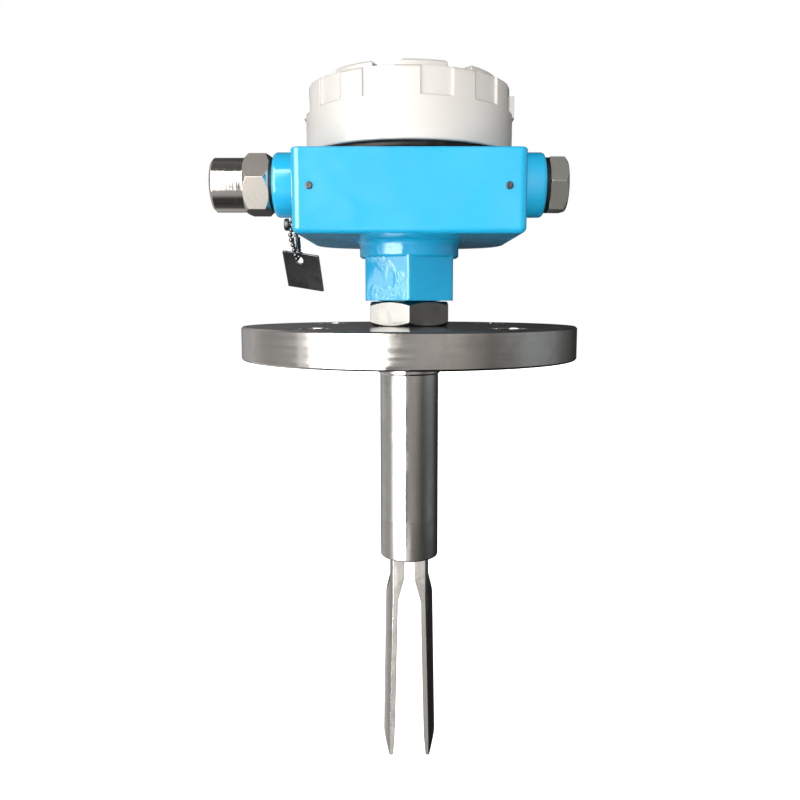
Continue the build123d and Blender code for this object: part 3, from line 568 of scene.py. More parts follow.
@dataclass(frozen=True)
class Steel(Finish):
    """Bare metal, turned, drawn or blasted, with handling marks."""

    cut: Cut = Cut.TURNED
    axis: Along = Along.Z
    centre_mm: Point = (0.0, 0.0, 0.0)
    marks_per_mm: float = 5.0
    mark_depth_mm: float = 0.006
    grit_depth_mm: float = 0.004
    grit_per_mm: float = 3.0
    cloudiness: float = 0.12
    smudge_range: Range = (0.38, 0.66)
    smudge_dulling: float = 0.7
    band_roughness: Range = (-0.03, 0.05)
    edge_mm: float = 0.3
    edge_light: float = 0.35
    edge_tone: float = 1.3
    scratch: float = 0.3
    streak_mm: float = 14.0
    cloud_mm: float = 11.0
    scratch_mm: float = 9.0
    scratch_tone: float = 0.75
    scratch_roughness: float = 0.25
    facets_from_mm: Optional[float] = None
    facet_start_mm: float = 0.1
    facet_lean: Range = (0.1, 0.3)
    facet_roughness: float = 0.42
    facet_colour: Colour = (0.5, 0.47, 0.43)
    facet_speckle: float = 1.35
    facet_grit: float = 4.0
    # Painted shade on the hexagon flats that face down: how much, for which facing, how dark.
    facet_painted_shade: float = 0.0
    shade_facing: Range = (-0.8, -0.3)
    painted_shade_tone: float = 0.15

    def inputs(self, w: Wiring) -> dict[Key, object]:
        """Works out the cut's marks, grit, smudges, and edges lightened as a painted highlight.

        Args:
            w: the wiring of the material.

        Returns:
            What goes into each input of the shader.
        """
        grain = w.effect(EFFECTS.grain, Grit_per_mm=self.grit_per_mm, Cloud_mm=self.cloud_mm)
        edge = w.effect(
            EFFECTS.edge_wear_and_shading, Radius_mm=self.edge_mm, Spread=self.edge_light, Break_up=0.4
        )
        hairs = w.effect(EFFECTS.scratches, Size_mm=self.scratch_mm, Amount=self.scratch)
        lines, bands = self.marks(w)
        smudge = w.spread(grain["Cloud"], *self.smudge_range)
        colour: object = w.blend(smudge, self.colour, shade(self.colour, 1.0 - self.cloudiness))
        dull = w.math("MULTIPLY", smudge, self.cloudiness * self.smudge_dulling)
        rough: Value = w.math("ADD", self.roughness, dull)
        rough = w.math("ADD", rough, w.spread(bands, *MIDDLE, *self.band_roughness))
        grit = w.math("MULTIPLY", grain["Grit"], self.grit_depth_mm / self.mark_depth_mm)
        height: Value = w.math("ADD", lines, grit)
        if self.facets_from_mm is not None:
            facets = self.facets(w)
            rough = w.between(facets, rough, self.facet_roughness)
            colour = w.blend(facets, colour, self.bar_skin(w, grain["Grit"]))
            height = w.between(facets, height, w.math("MULTIPLY", grain["Grit"], self.facet_grit))
        # Edges are lightened: a painted highlight, partly bare worn metal at the edges.
        colour = w.blend(edge["Mask"], colour, shade(self.colour, self.edge_tone))
        colour = w.blend(hairs["Mask"], colour, shade(self.colour, self.scratch_tone))
        dull = w.math("MULTIPLY", hairs["Mask"], self.scratch_roughness)
        return {
            "Metallic": 1.0,
            "Base Color": colour,
            "Roughness": w.math("ADD", rough, dull, True),
            "Normal": w.bump(height, self.mark_depth_mm, edge["Normal"]),
        }

    def bar_skin(self, w: Wiring, grit: Socket) -> Socket:
        """Speckles the flats of the hexagon and darkens the ones that face down, as painted shade.

        Args:
            w: the wiring of the material.
            grit: the fine grit, from 0 to 1.

        Returns:
            The colour's socket.
        """
        bright = shade(self.facet_colour, self.facet_speckle)
        speckled = w.blend(w.spread(grit, *MIDDLE), self.facet_colour, bright)
        upward = w.split(w.node("ShaderNodeNewGeometry").outputs["True Normal"])["Z"]
        # Flats that face down are darkened: painted shade.
        below = w.spread(upward, *self.shade_facing, self.facet_painted_shade, 0.0)
        return w.blend(below, speckled, shade(self.facet_colour, self.painted_shade_tone))

    def marks(self, w: Wiring) -> tuple[Socket, Socket]:
        """Adds the marks of the cut.

        Args:
            w: the wiring of the material.

        Returns:
            The fine marks and the broad bands among them.
        """
        if self.cut is Cut.TURNED:
            found = w.effect(
                EFFECTS.turning_marks,
                Centre_mm=self.centre_mm,
                Axis=self.axis.value,
                Lines_per_mm=self.marks_per_mm,
            )
            return found["Lines"], found["Bands"]
        if self.cut is Cut.DRAWN:
            found = w.effect(
                EFFECTS.drawn_streaks,
                Axis=self.axis.value,
                Streaks_per_mm=self.marks_per_mm,
                Length_mm=self.streak_mm,
            )
            return found["Streaks"], found["Broad"]
        found = w.effect(EFFECTS.grain, Grit_per_mm=self.marks_per_mm, Cloud_mm=5.0)
        return found["Grit"], found["Cloud"]

    def facets(self, w: Wiring) -> Socket:
        """Marks the flats of the hexagon, which keep the skin of the bar.

        Args:
            w: the wiring of the material.

        Returns:
            1 on the flats beyond facets_from_mm along the axis, 0 elsewhere.
        """
        height = w.vector("DOT_PRODUCT", EFFECTS.place(w), self.axis.value)
        start, blur = self.facets_from_mm, self.facet_start_mm
        beyond = w.spread(height, start - blur, start + blur)
        normal = w.node("ShaderNodeNewGeometry").outputs["True Normal"]
        lean = w.math("ABSOLUTE", w.vector("DOT_PRODUCT", normal, self.axis.value))
        return w.math("MULTIPLY", beyond, w.spread(lean, *self.facet_lean, 1.0, 0.0))


@dataclass(frozen=True)
class PowderCoat(Finish):
    """Glossy powder coat on a casting."""

    deep: Colour = (0.0, 0.2, 0.4)
    deep_share: float = 0.22
    specular: float = 0.72
    cloud_roughness: Range = (-0.03, 0.06)
    wave_mm: float = 2.2
    wave_depth_mm: float = 0.012
    lump_mm: float = 7.0
    lumps: float = 0.5
    rough_casting_mm: Optional[Range] = None
    rough_wave_mm: float = 0.8
    rough_lump_mm: float = 2.2
    rough_lumps: float = 1.6
    rough_depth_mm: float = 0.05
    rough_share: float = 0.15
    rough_spots_per_mm: float = 0.11
    rough_spot_range: Range = (0.46, 0.56)
    edge_mm: float = 0.8
    edge_tone: float = 1.12
    edge_share: float = 0.6
    specks: float = 0.0
    dirt_tone: float = 0.45
    body_roughness: float = 0.0

    def inputs(self, w: Wiring) -> dict[Key, object]:
        """Works out paint waves, lumps, specks and tinted edges; the white cap's darker edges are
        painted shade.

        Args:
            w: the wiring of the material.

        Returns:
            What goes into each input of the shader.
        """
        skin = w.effect(
            EFFECTS.paint_skin, Wave_mm=self.wave_mm, Lump_mm=self.lump_mm, Lumps=self.lumps
        )
        edge = w.effect(EFFECTS.edge_wear_and_shading, Radius_mm=self.edge_mm, Spread=0.5, Break_up=0.6)
        grain = w.effect(EFFECTS.grain, Grit_per_mm=2.5, Cloud_mm=16.0)
        tone = w.spread(skin["Tone"], *WIDE, 0.0, self.deep_share)
        colour = w.blend(tone, self.colour, self.deep)
        # Edges take edge_tone: darker on the white cap, a painted shade that outlines it, and
        # lighter on the blue.
        edge_colour = shade(self.colour, self.edge_tone)
        colour = w.blend(w.math("MULTIPLY", edge["Mask"], self.edge_share), colour, edge_colour)
        dirt = shade(self.deep, self.dirt_tone)
        colour = w.blend(w.math("MULTIPLY", grain["Specks"], self.specks), colour, dirt)
        uneven = w.spread(grain["Cloud"], *WIDE, *self.cloud_roughness)
        rough = w.math("ADD", self.roughness, uneven)
        normal = w.bump(skin["Height"], self.wave_depth_mm, edge["Normal"])
        if self.rough_casting_mm is not None:
            above = w.spread(w.split(EFFECTS.place(w))["Z"], *self.rough_casting_mm)
            rough = w.math("ADD", rough, w.math("MULTIPLY", above, self.body_roughness))
            normal = w.bump(self.rough_casting(w, above), self.rough_depth_mm, normal)
        return {
            "Specular IOR Level": self.specular,
            "Base Color": colour,
            "Roughness": rough,
            "Normal": normal,
        }

    def rough_casting(self, w: Wiring, above: Socket) -> Socket:
        """Roughens the lower part of the casting in patches.

        Args:
            w: the wiring of the material.
            above: 0 on the rough part, 1 above it.

        Returns:
            The roughness' height, from 0 to 1.
        """
        coarse = w.effect(
            EFFECTS.paint_skin,
            Wave_mm=self.rough_wave_mm,
            Lump_mm=self.rough_lump_mm,
            Lumps=self.rough_lumps,
        )
        spots = w.noise(EFFECTS.place(w), self.rough_spots_per_mm, detail=1.0)
        patches = w.spread(spots, *self.rough_spot_range, self.rough_share, 1.0)
        share = w.math("MULTIPLY", w.math("SUBTRACT", 1.0, above), patches)
        return w.math("MULTIPLY", coarse["Height"], share)


@dataclass(frozen=True)
class Moulding(Finish):
    """Moulded plastic, rubber or fired ceramic."""

    grit_per_mm: float = 4.0
    grit_depth_mm: float = 0.01
    variation: float = 0.12
    light_lift: float = 0.01
    grit_roughness: Range = (-0.04, 0.06)
    edge_mm: float = 0.15
    edge_tone: float = 1.25
    edge_lift: float = 0.02
    specular: float = 0.5
    clear: float = 0.0
    glow: float = 0.0

    def inputs(self, w: Wiring) -> dict[Key, object]:
        """Works out mould texture, cloudy tone and soft edges.

        Args:
            w: the wiring of the material.

        Returns:
            What goes into each input of the shader.
        """
        grain = w.effect(EFFECTS.grain, Grit_per_mm=self.grit_per_mm, Cloud_mm=6.0)
        edge = w.effect(EFFECTS.edge_wear_and_shading, Radius_mm=self.edge_mm, Spread=0.4, Break_up=0.3)
        low = shade(self.colour, 1.0 - self.variation)
        high = shade(self.colour, 1.0 + self.variation, self.light_lift)
        colour = w.blend(w.spread(grain["Cloud"], *WIDE), low, high)
        edge_colour = shade(self.colour, self.edge_tone, self.edge_lift)
        colour = w.blend(edge["Mask"], colour, edge_colour)
        uneven = w.spread(grain["Grit"], *WIDE, *self.grit_roughness)
        rough = w.math("ADD", self.roughness, uneven, True)
        found = {
            "Specular IOR Level": self.specular,
            "Transmission Weight": self.clear,
            "Base Color": colour,
            "Roughness": rough,
            "Normal": w.bump(grain["Grit"], self.grit_depth_mm, edge["Normal"]),
        }
        if self.glow:
            found |= {"Emission Color": colour, "Emission Strength": self.glow}
        return found


@dataclass(frozen=True)
class SolderMask(Finish):
    """A circuit board: lacquer over copper tracks, with tinned pads."""

    track: Colour = (0.03, 0.26, 0.1)
    pad: Colour = (0.75, 0.73, 0.7)
    bare_edge: Colour = (0.45, 0.42, 0.2)
    pad_roughness: float = 0.25
    depth_mm: float = 0.035
    track_pitch_mm: float = 3.4
    track_fold: float = 0.28
    track_edge: Range = (0.12, 0.16)
    pad_edge: Range = (0.10, 0.13)
    pad_patches: Range = (0.5, 0.53)

    def inputs(self, w: Wiring) -> dict[Key, object]:
        """Works out tracks under lacquer and bare pads.

        Args:
            w: the wiring of the material.

        Returns:
            What goes into each input of the shader.
        """
        scale = 1.0 / self.track_pitch_mm
        cells = {"Vector": EFFECTS.place(w), "Scale": scale, "Randomness": 0.6}
        gap = w.result("ShaderNodeTexVoronoi", cells, "Distance", distance="CHEBYCHEV")
        tracks = w.spread(w.math("PINGPONG", gap, self.track_fold), *self.track_edge)
        grain = w.effect(EFFECTS.grain, Grit_per_mm=3.0, Cloud_mm=12.0)
        some = w.spread(grain["Cloud"], *self.pad_patches)
        pads = w.math("MULTIPLY", w.spread(gap, *self.pad_edge, 1.0, 0.0), some)
        colour = w.blend(pads, w.blend(tracks, self.colour, self.track), self.pad)
        edge = w.effect(EFFECTS.edge_wear_and_shading, Radius_mm=0.15, Spread=0.6, Break_up=0.3)
        colour = w.blend(edge["Mask"], colour, self.bare_edge)
        return {
            "Base Color": colour,
            "Metallic": pads,
            "Roughness": w.between(pads, self.roughness, self.pad_roughness),
            "Normal": w.bump(w.math("ADD", tracks, pads), self.depth_mm, edge["Normal"]),
        }


@dataclass(frozen=True)
class Finishes:
    """Every finish of the switch, by its slot in the record."""

    fork_steel: Finish = Steel(
        (0.58, 0.565, 0.54), 0.14, Cut.DRAWN, marks_per_mm=2.2, mark_depth_mm=0.004,
        grit_depth_mm=0.004, cloudiness=0.1, edge_mm=0.35, edge_light=0.6, streak_mm=30.0,
    )
    tube_steel: Finish = Steel(
        (0.64, 0.63, 0.61), 0.11, Cut.DRAWN, marks_per_mm=1.4, mark_depth_mm=0.003,
        grit_depth_mm=0.001, cloudiness=0.14, scratch=0.5, streak_mm=40.0,
    )
    flange_steel: Finish = Steel(
        (0.60, 0.58, 0.555), 0.1, marks_per_mm=2.6, mark_depth_mm=0.004,
        grit_depth_mm=0.006, grit_per_mm=1.6, cloudiness=0.1,
    )
    hex_steel: Finish = Steel(
        (0.28, 0.278, 0.266), 0.1, Cut.DRAWN, marks_per_mm=1.3, mark_depth_mm=0.008,
        grit_depth_mm=0.003, cloudiness=0.16, scratch=0.6, streak_mm=16.0,
    )
    # Its hexagon flats that face down are darkened with painted shade.
    conduit_steel: Finish = Steel(
        (0.66, 0.63, 0.6), 0.1, axis=Along.X, centre_mm=ENTRIES_MM, marks_per_mm=2.4,
        mark_depth_mm=0.008, grit_depth_mm=0.003, cloudiness=0.06, scratch=0.2,
        facets_from_mm=-79.5, facet_roughness=0.4, facet_colour=(0.44, 0.415, 0.385),
        facet_painted_shade=1.0,
    )
    plug_steel: Finish = Steel(
        (0.62, 0.61, 0.59), 0.16, axis=Along.X, centre_mm=ENTRIES_MM, marks_per_mm=2.8,
        cloudiness=0.22, edge_light=0.6, facets_from_mm=50.0, facet_roughness=0.34,
        facet_colour=(0.64, 0.64, 0.6),
    )
    # Its edges are lightened strongly: a painted highlight.
    screw_steel: Finish = Steel(
        (0.11, 0.109, 0.107), 0.24, Cut.BLASTED, cloudiness=0.3, edge_mm=0.12, edge_light=0.7,
        edge_tone=2.4,
    )
    chain_steel: Finish = Steel(
        (0.12, 0.12, 0.122), 0.1, Cut.BLASTED, mark_depth_mm=0.002, cloudiness=0.2, edge_mm=0.1,
        scratch=0.1,
    )
    # Its edges are lightened ninefold: a painted highlight on the plate's cut edges, partly bare
    # metal.
    tag_steel: Finish = Steel(
        (0.05, 0.05, 0.052), 0.34, Cut.BLASTED, marks_per_mm=1.3, mark_depth_mm=0.05,
        grit_depth_mm=0.012, cloudiness=0.5, edge_light=1.0, edge_tone=9.0, scratch=0.8,
    )
    blue_paint: Finish = PowderCoat(
        (0.014, 0.375, 0.65), 0.09, deep=(0.007, 0.31, 0.57), specks=0.12,
        rough_casting_mm=(57.0, 63.0), rough_depth_mm=0.1, body_roughness=0.05,
    )
    # Its edges are darkened: painted shade that outlines the cap.
    white_paint: Finish = PowderCoat(
        (0.565, 0.545, 0.52), 0.3, deep=(0.53, 0.51, 0.485), lumps=0.3, edge_tone=0.6,
    )
    black_rubber: Finish = Moulding((0.0035, 0.0035, 0.004), 0.4, grit_depth_mm=0.006, specular=0.2)
    ceramic: Finish = Moulding((0.76, 0.70, 0.56), 0.5)
    brass: Finish = Steel(
        (0.72, 0.50, 0.22), 0.24, marks_per_mm=6.0, cloudiness=0.25, edge_mm=0.15,
    )
    pale_plastic: Finish = Moulding((0.82, 0.8, 0.74), 0.45)
    dark_plastic: Finish = Moulding((0.03, 0.03, 0.034), 0.42, variation=0.2)
    wire_jacket: Finish = Moulding((0.5, 0.03, 0.02), 0.4, edge_mm=0.05)
    board_green: Finish = SolderMask((0.012, 0.16, 0.06), 0.3)
    terminal_green: Finish = Moulding((0.03, 0.26, 0.09), 0.42)
    relay_plastic: Finish = Moulding((0.015, 0.05, 0.24), 0.25, grit_depth_mm=0.003)
    capacitor_sleeve: Finish = Moulding((0.015, 0.015, 0.03), 0.2, grit_depth_mm=0.003)
    dial_blue: Finish = Moulding((0.01, 0.08, 0.38), 0.3)
    green_lens: Finish = Moulding((0.04, 0.5, 0.1), 0.12, clear=0.35, glow=0.15)
    red_lens: Finish = Moulding((0.55, 0.02, 0.015), 0.12, clear=0.35, glow=0.05)

    @cache
    def material(self, slot: str) -> bpy.types.Material:
        """The material of a slot, made when it is first asked for."""
        return getattr(self, slot).material(slot + "_finish")


# Mesh making


def piece_from(name: str, bm: bmesh.types.BMesh, smooth_deg: float = 40.0) -> bpy.types.Object:
    """Makes a piece from worked-out mesh data.

    Args:
        name: the piece's name.
        bm: the mesh data, freed here.
        smooth_deg: edges bent less than this are shaded smooth.

    Returns:
        The new object, linked to the scene.
    """
    mesh = bpy.data.meshes.new(name)
    bmesh.ops.recalc_face_normals(bm, faces=bm.faces)
    bm.to_mesh(mesh)
    bm.free()
    mesh.shade_smooth()
    mesh.set_sharp_from_angle(angle=math.radians(smooth_deg))
    made = bpy.data.objects.new(name, mesh)
    bpy.context.scene.collection.objects.link(made)
    return made


def swept(
    name: str, rings: list[list[Point]], closed: bool, smooth_deg: float
) -> bpy.types.Object:
    """Makes a piece whose skin runs through rings of points.

    Args:
        name: the piece's name.
        rings: the rings, each with the same number of points.
        closed: joins the last ring to the first, else both ends get a cap.
        smooth_deg: edges bent less than this are shaded smooth.

    Returns:
        The new object.
    """
    bm = bmesh.new()
    made = [[bm.verts.new(at) for at in ring] for ring in rings]
    for low, high in zip(made, made[1:] + (made[:1] if closed else [])):
        for i in range(len(low)):
            nxt = (i + 1) % len(low)
            bm.faces.new((low[i], low[nxt], high[nxt], high[i]))
    if not closed:
        bm.faces.new(made[0])
        bm.faces.new(list(reversed(made[-1])))
    return piece_from(name, bm, smooth_deg)


@dataclass(frozen=True)
class Thread:
    """A right-hand screw thread whose ridge winds on a round wall."""

    name: str
    axis: Along
    wall_radius: float
    ridge: float
    pitch: float
    start: float
    end: float
    level: float = 0.0
    inward: bool = False
    phase: float = 0.0
    steps_per_turn: int = 72
    sunk: float = 0.00004
    base_share: float = 0.86
    crest_share: float = 0.24
    fade_turns: float = 0.35

    def build(self) -> bpy.types.Object:
        """Winds the ridge with both ends running out into the wall.

        Returns:
            The ridge as a closed mesh.
        """
        out = -1.0 if self.inward else 1.0
        turns = (self.end - self.start) / self.pitch
        count = int(turns * self.steps_per_turn)
        rings: list[list[Point]] = []
        for step in range(count + 1):
            share = step / count
            turn = share * turns
            fade = min(1.0, turn / self.fade_turns, (turns - turn) / self.fade_turns)
            tall = self.ridge * math.sin(fade * math.pi / 2)
            angle = (turn + self.phase) * math.tau
            middle = self.start + turn * self.pitch
            foot = self.wall_radius - out * self.sunk
            crest = self.wall_radius + out * tall if tall > 0.0 else foot
            ring = []
            for radius, offset in (
                (foot, -self.base_share / 2),
                (crest, -self.crest_share / 2),
                (crest, self.crest_share / 2),
                (foot, self.base_share / 2),
            ):
                along = middle + offset * self.pitch
                one, two = radius * math.cos(angle), radius * math.sin(angle)
                at = (along, one, two) if self.axis is Along.X else (one, two, along)
                ring.append((at[0], at[1], at[2] + self.level))
            rings.append(ring)
        return swept(self.name, rings, closed=False, smooth_deg=30.0)


@dataclass(frozen=True)
class WeldBead:
    """A ring of weld with the ripples of its puddle."""

    name: str
    ring_radius: float
    bead_radius: float
    level: float = 0.0
    ripple: float = 0.00006
    ripples: int = 64
    steps: int = 384
    sides: int = 12

    def build(self) -> bpy.types.Object:
        """Sweeps a round section round the ring, swelling at each ripple.

        Returns:
            The bead as a closed mesh.
        """
        rings: list[list[Point]] = []
        for step in range(self.steps):
            angle = step / self.steps * math.tau
            swell = self.ripple * abs(math.sin(angle * self.ripples / 2))
            section = self.bead_radius + swell
            ring = []
            for side in range(self.sides):
                lean = side / self.sides * math.tau
                radius = self.ring_radius + section * math.cos(lean)
                level = self.level + section * math.sin(lean)
                ring.append((radius * math.cos(angle), radius * math.sin(angle), level))
            rings.append(ring)
        return swept(self.name, rings, closed=True, smooth_deg=60.0)


# Sub-assemblies


@dataclass
class SubAssembly:
    """Pieces of the switch that are built and dressed together."""

    finishes: Finishes
    built: list[str] = field(default_factory=list)

    def dress(self, slot: str, *nodes: str) -> None:
        """Gives a finish to nodes of the frame.

        Args:
            slot: the finish's slot.
            nodes: the nodes' names.
        """
        for name in nodes:
            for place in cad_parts[name].material_slots:
                place.material = self.finishes.material(slot)
            self.built.append(name)

    def add(self, made: bpy.types.Object, body: str, slot: str) -> bpy.types.Object:
        """Gives a new piece its finish and the body that it rides on.

        Args:
            made: the new piece.
            body: the body that it moves with.
            slot: the finish's slot.

        Returns:
            The piece.
        """
        made.data.materials.append(self.finishes.material(slot))
        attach(made, body)
        self.built.append(made.name)
        return made

    def build(self) -> None:
        """Builds and dresses the pieces. Each sub-assembly has its own."""
        raise NotImplementedError


@dataclass
class Probe(SubAssembly):
    """The fork, its tube and the ceramic stack that drives it."""

    weld: WeldBead = WeldBead("flange_weld", ring_radius=15.4 * MM, bead_radius=0.7 * MM)

    def build(self) -> None:
        """Dresses the fork and tube, and lays the weld under the flange."""
        self.dress("fork_steel", "tuning_fork")
        self.dress("tube_steel", "probe_tube")
        self.dress("ceramic", "piezo_discs", "insulating_washers")
        self.dress("brass", "electrode_plates")
        self.dress("pale_plastic", "insulating_sleeve")
        self.dress("hex_steel", "pressure_plate", "clamp_bolt")
        self.dress("wire_jacket", "signal_wires")
        self.add(self.weld.build(), "root", "flange_steel")


@dataclass
class Flange(SubAssembly):
    """The flange and the hexagon screwed into it."""

    def build(self) -> None:
        """Dresses the flange, the stem and what seals it."""
        self.dress("flange_steel", "flange")
        self.dress("hex_steel", "stem_adapter")
        self.dress("black_rubber", "neck_o_ring", "wire_bush")


@dataclass
class Housing(SubAssembly):
    """The blue casting with the mouth's thread and its small screws."""

    mouth: Thread = Thread(
        "mouth_thread", Along.Z, wall_radius=45.0 * MM, ridge=0.5 * MM, pitch=2.0 * MM,
        start=100.5 * MM, end=110.0 * MM, steps_per_turn=144,
    )
    plug_hole: Thread = Thread(
        "plug_hole_thread", Along.X, wall_radius=10.0 * MM, ridge=0.5 * MM, pitch=1.5 * MM,
        start=52.2 * MM, end=64.6 * MM, level=86.5 * MM, inward=True, phase=0.5,
    )

    def build(self) -> None:
        """Dresses the casting and winds its two threads."""
        self.dress("blue_paint", "housing")
        self.dress("screw_steel", "nameplate_screws", "ground_screw", "ground_washer")
        self.dress("brass", "inner_ground_screw", "inner_ground_washer")
        for thread in (self.mouth, self.plug_hole):
            self.add(thread.build(), "root", "blue_paint")


@dataclass
class Cover(SubAssembly):
    """The white cap, its inner thread and its seal ring."""

    inner: Thread = Thread(
        "cover_thread", Along.Z, wall_radius=45.3 * MM, ridge=0.5 * MM, pitch=2.0 * MM,
        start=101.5 * MM, end=111.5 * MM, inward=True, steps_per_turn=144,
    )

    def build(self) -> None:
        """Dresses the cap and winds the thread inside it."""
        self.dress("white_paint", "cover")
        self.dress("black_rubber", "cover_o_ring")
        self.add(self.inner.build(), "cover", "white_paint")


@dataclass
class CableEntries(SubAssembly):
    """The conduit adapter on the left and the blind plug on the right."""

    bore: Thread = Thread(
        "conduit_thread_ridge", Along.X, wall_radius=9.5 * MM, ridge=0.8 * MM, pitch=1.8 * MM,
        start=-94.6 * MM, end=-81.0 * MM, level=86.5 * MM, inward=True,
    )
    spigot: Thread = Thread(
        "plug_thread", Along.X, wall_radius=9.95 * MM, ridge=0.5 * MM, pitch=1.5 * MM,
        start=54.9 * MM, end=66.0 * MM, level=86.5 * MM,
    )

    def build(self) -> None:
        """Dresses both fittings and winds their threads."""
        self.dress("conduit_steel", "conduit_adapter")
        self.dress("plug_steel", "blind_plug")
        self.dress("black_rubber", "conduit_washer", "plug_washer")
        self.add(self.bore.build(), "root", "conduit_steel")
        self.add(self.spigot.build(), "blind_plug", "plug_steel")


@dataclass
class TagOnChain(SubAssembly):
    """The ball chain and the plate that hangs on it."""

    def build(self) -> None:
        """Dresses the chain, its connector and the tag."""
        self.dress("chain_steel", "tag_chain", "chain_connector")
        self.dress("tag_steel", "tag_plate")


@dataclass
class Electronics(SubAssembly):
    """The module inside the housing."""

    def build(self) -> None:
        """Dresses the tray, the board and what is on it."""
        self.dress("dark_plastic", "electronics_case", "mode_switch")
        self.dress("board_green", "circuit_board")
        self.dress("terminal_green", "terminal_block")
        self.dress("brass", "terminal_clamps", "dial_rotor")
        self.dress("screw_steel", "terminal_screws", "module_screws")
        self.dress("relay_plastic", "relay")
        self.dress("capacitor_sleeve", "capacitor")
        self.dress("pale_plastic", "sensor_connector", "mode_slider")
        self.dress("dial_blue", "sensitivity_dial")
        self.dress("green_lens", "power_lamp")
        self.dress("red_lens", "alarm_lamp")


@dataclass(frozen=True)
class Panel:
    """A soft light panel that faces the object from a direction.

    Its width and height are given as the angles that it fills, seen from the
    object's axis. A mirrored panel shows in steel and gloss, and the others
    light the paint.
    """

    name: str
    left_deg: float
    right_deg: float
    low_deg: float
    high_deg: float
    radiance: float
    colour: Colour = WHITE
    mirrored: bool = False
    distance: float = 2.6

    def build(self) -> None:
        """Hangs the panel so that it faces the object."""
        half_width = math.radians(self.right_deg - self.left_deg) / 2
        half_height = math.radians(self.high_deg - self.low_deg) / 2
        azimuth = math.radians(self.left_deg + self.right_deg) / 2
        height = math.radians(self.low_deg + self.high_deg) / 2
        lamp = bpy.data.lights.new(self.name, "AREA")
        lamp.shape = "RECTANGLE"
        lamp.size = 2 * self.distance * math.tan(half_width)
        lamp.size_y = 2 * self.distance * math.tan(half_height)
        lamp.energy = self.radiance * math.pi * lamp.size * lamp.size_y
        lamp.color = self.colour
        holder = bpy.data.objects.new(self.name, lamp)
        holder.location = (
            self.distance * math.cos(height) * math.sin(azimuth),
            -self.distance * math.cos(height) * math.cos(azimuth),
            self.distance * math.sin(height),
        )
        holder.rotation_euler = (math.pi / 2 - height, 0.0, azimuth)
        holder.visible_camera = False
        holder.visible_glossy = self.mirrored
        holder.visible_diffuse = not self.mirrored
        bpy.context.scene.collection.objects.link(holder)


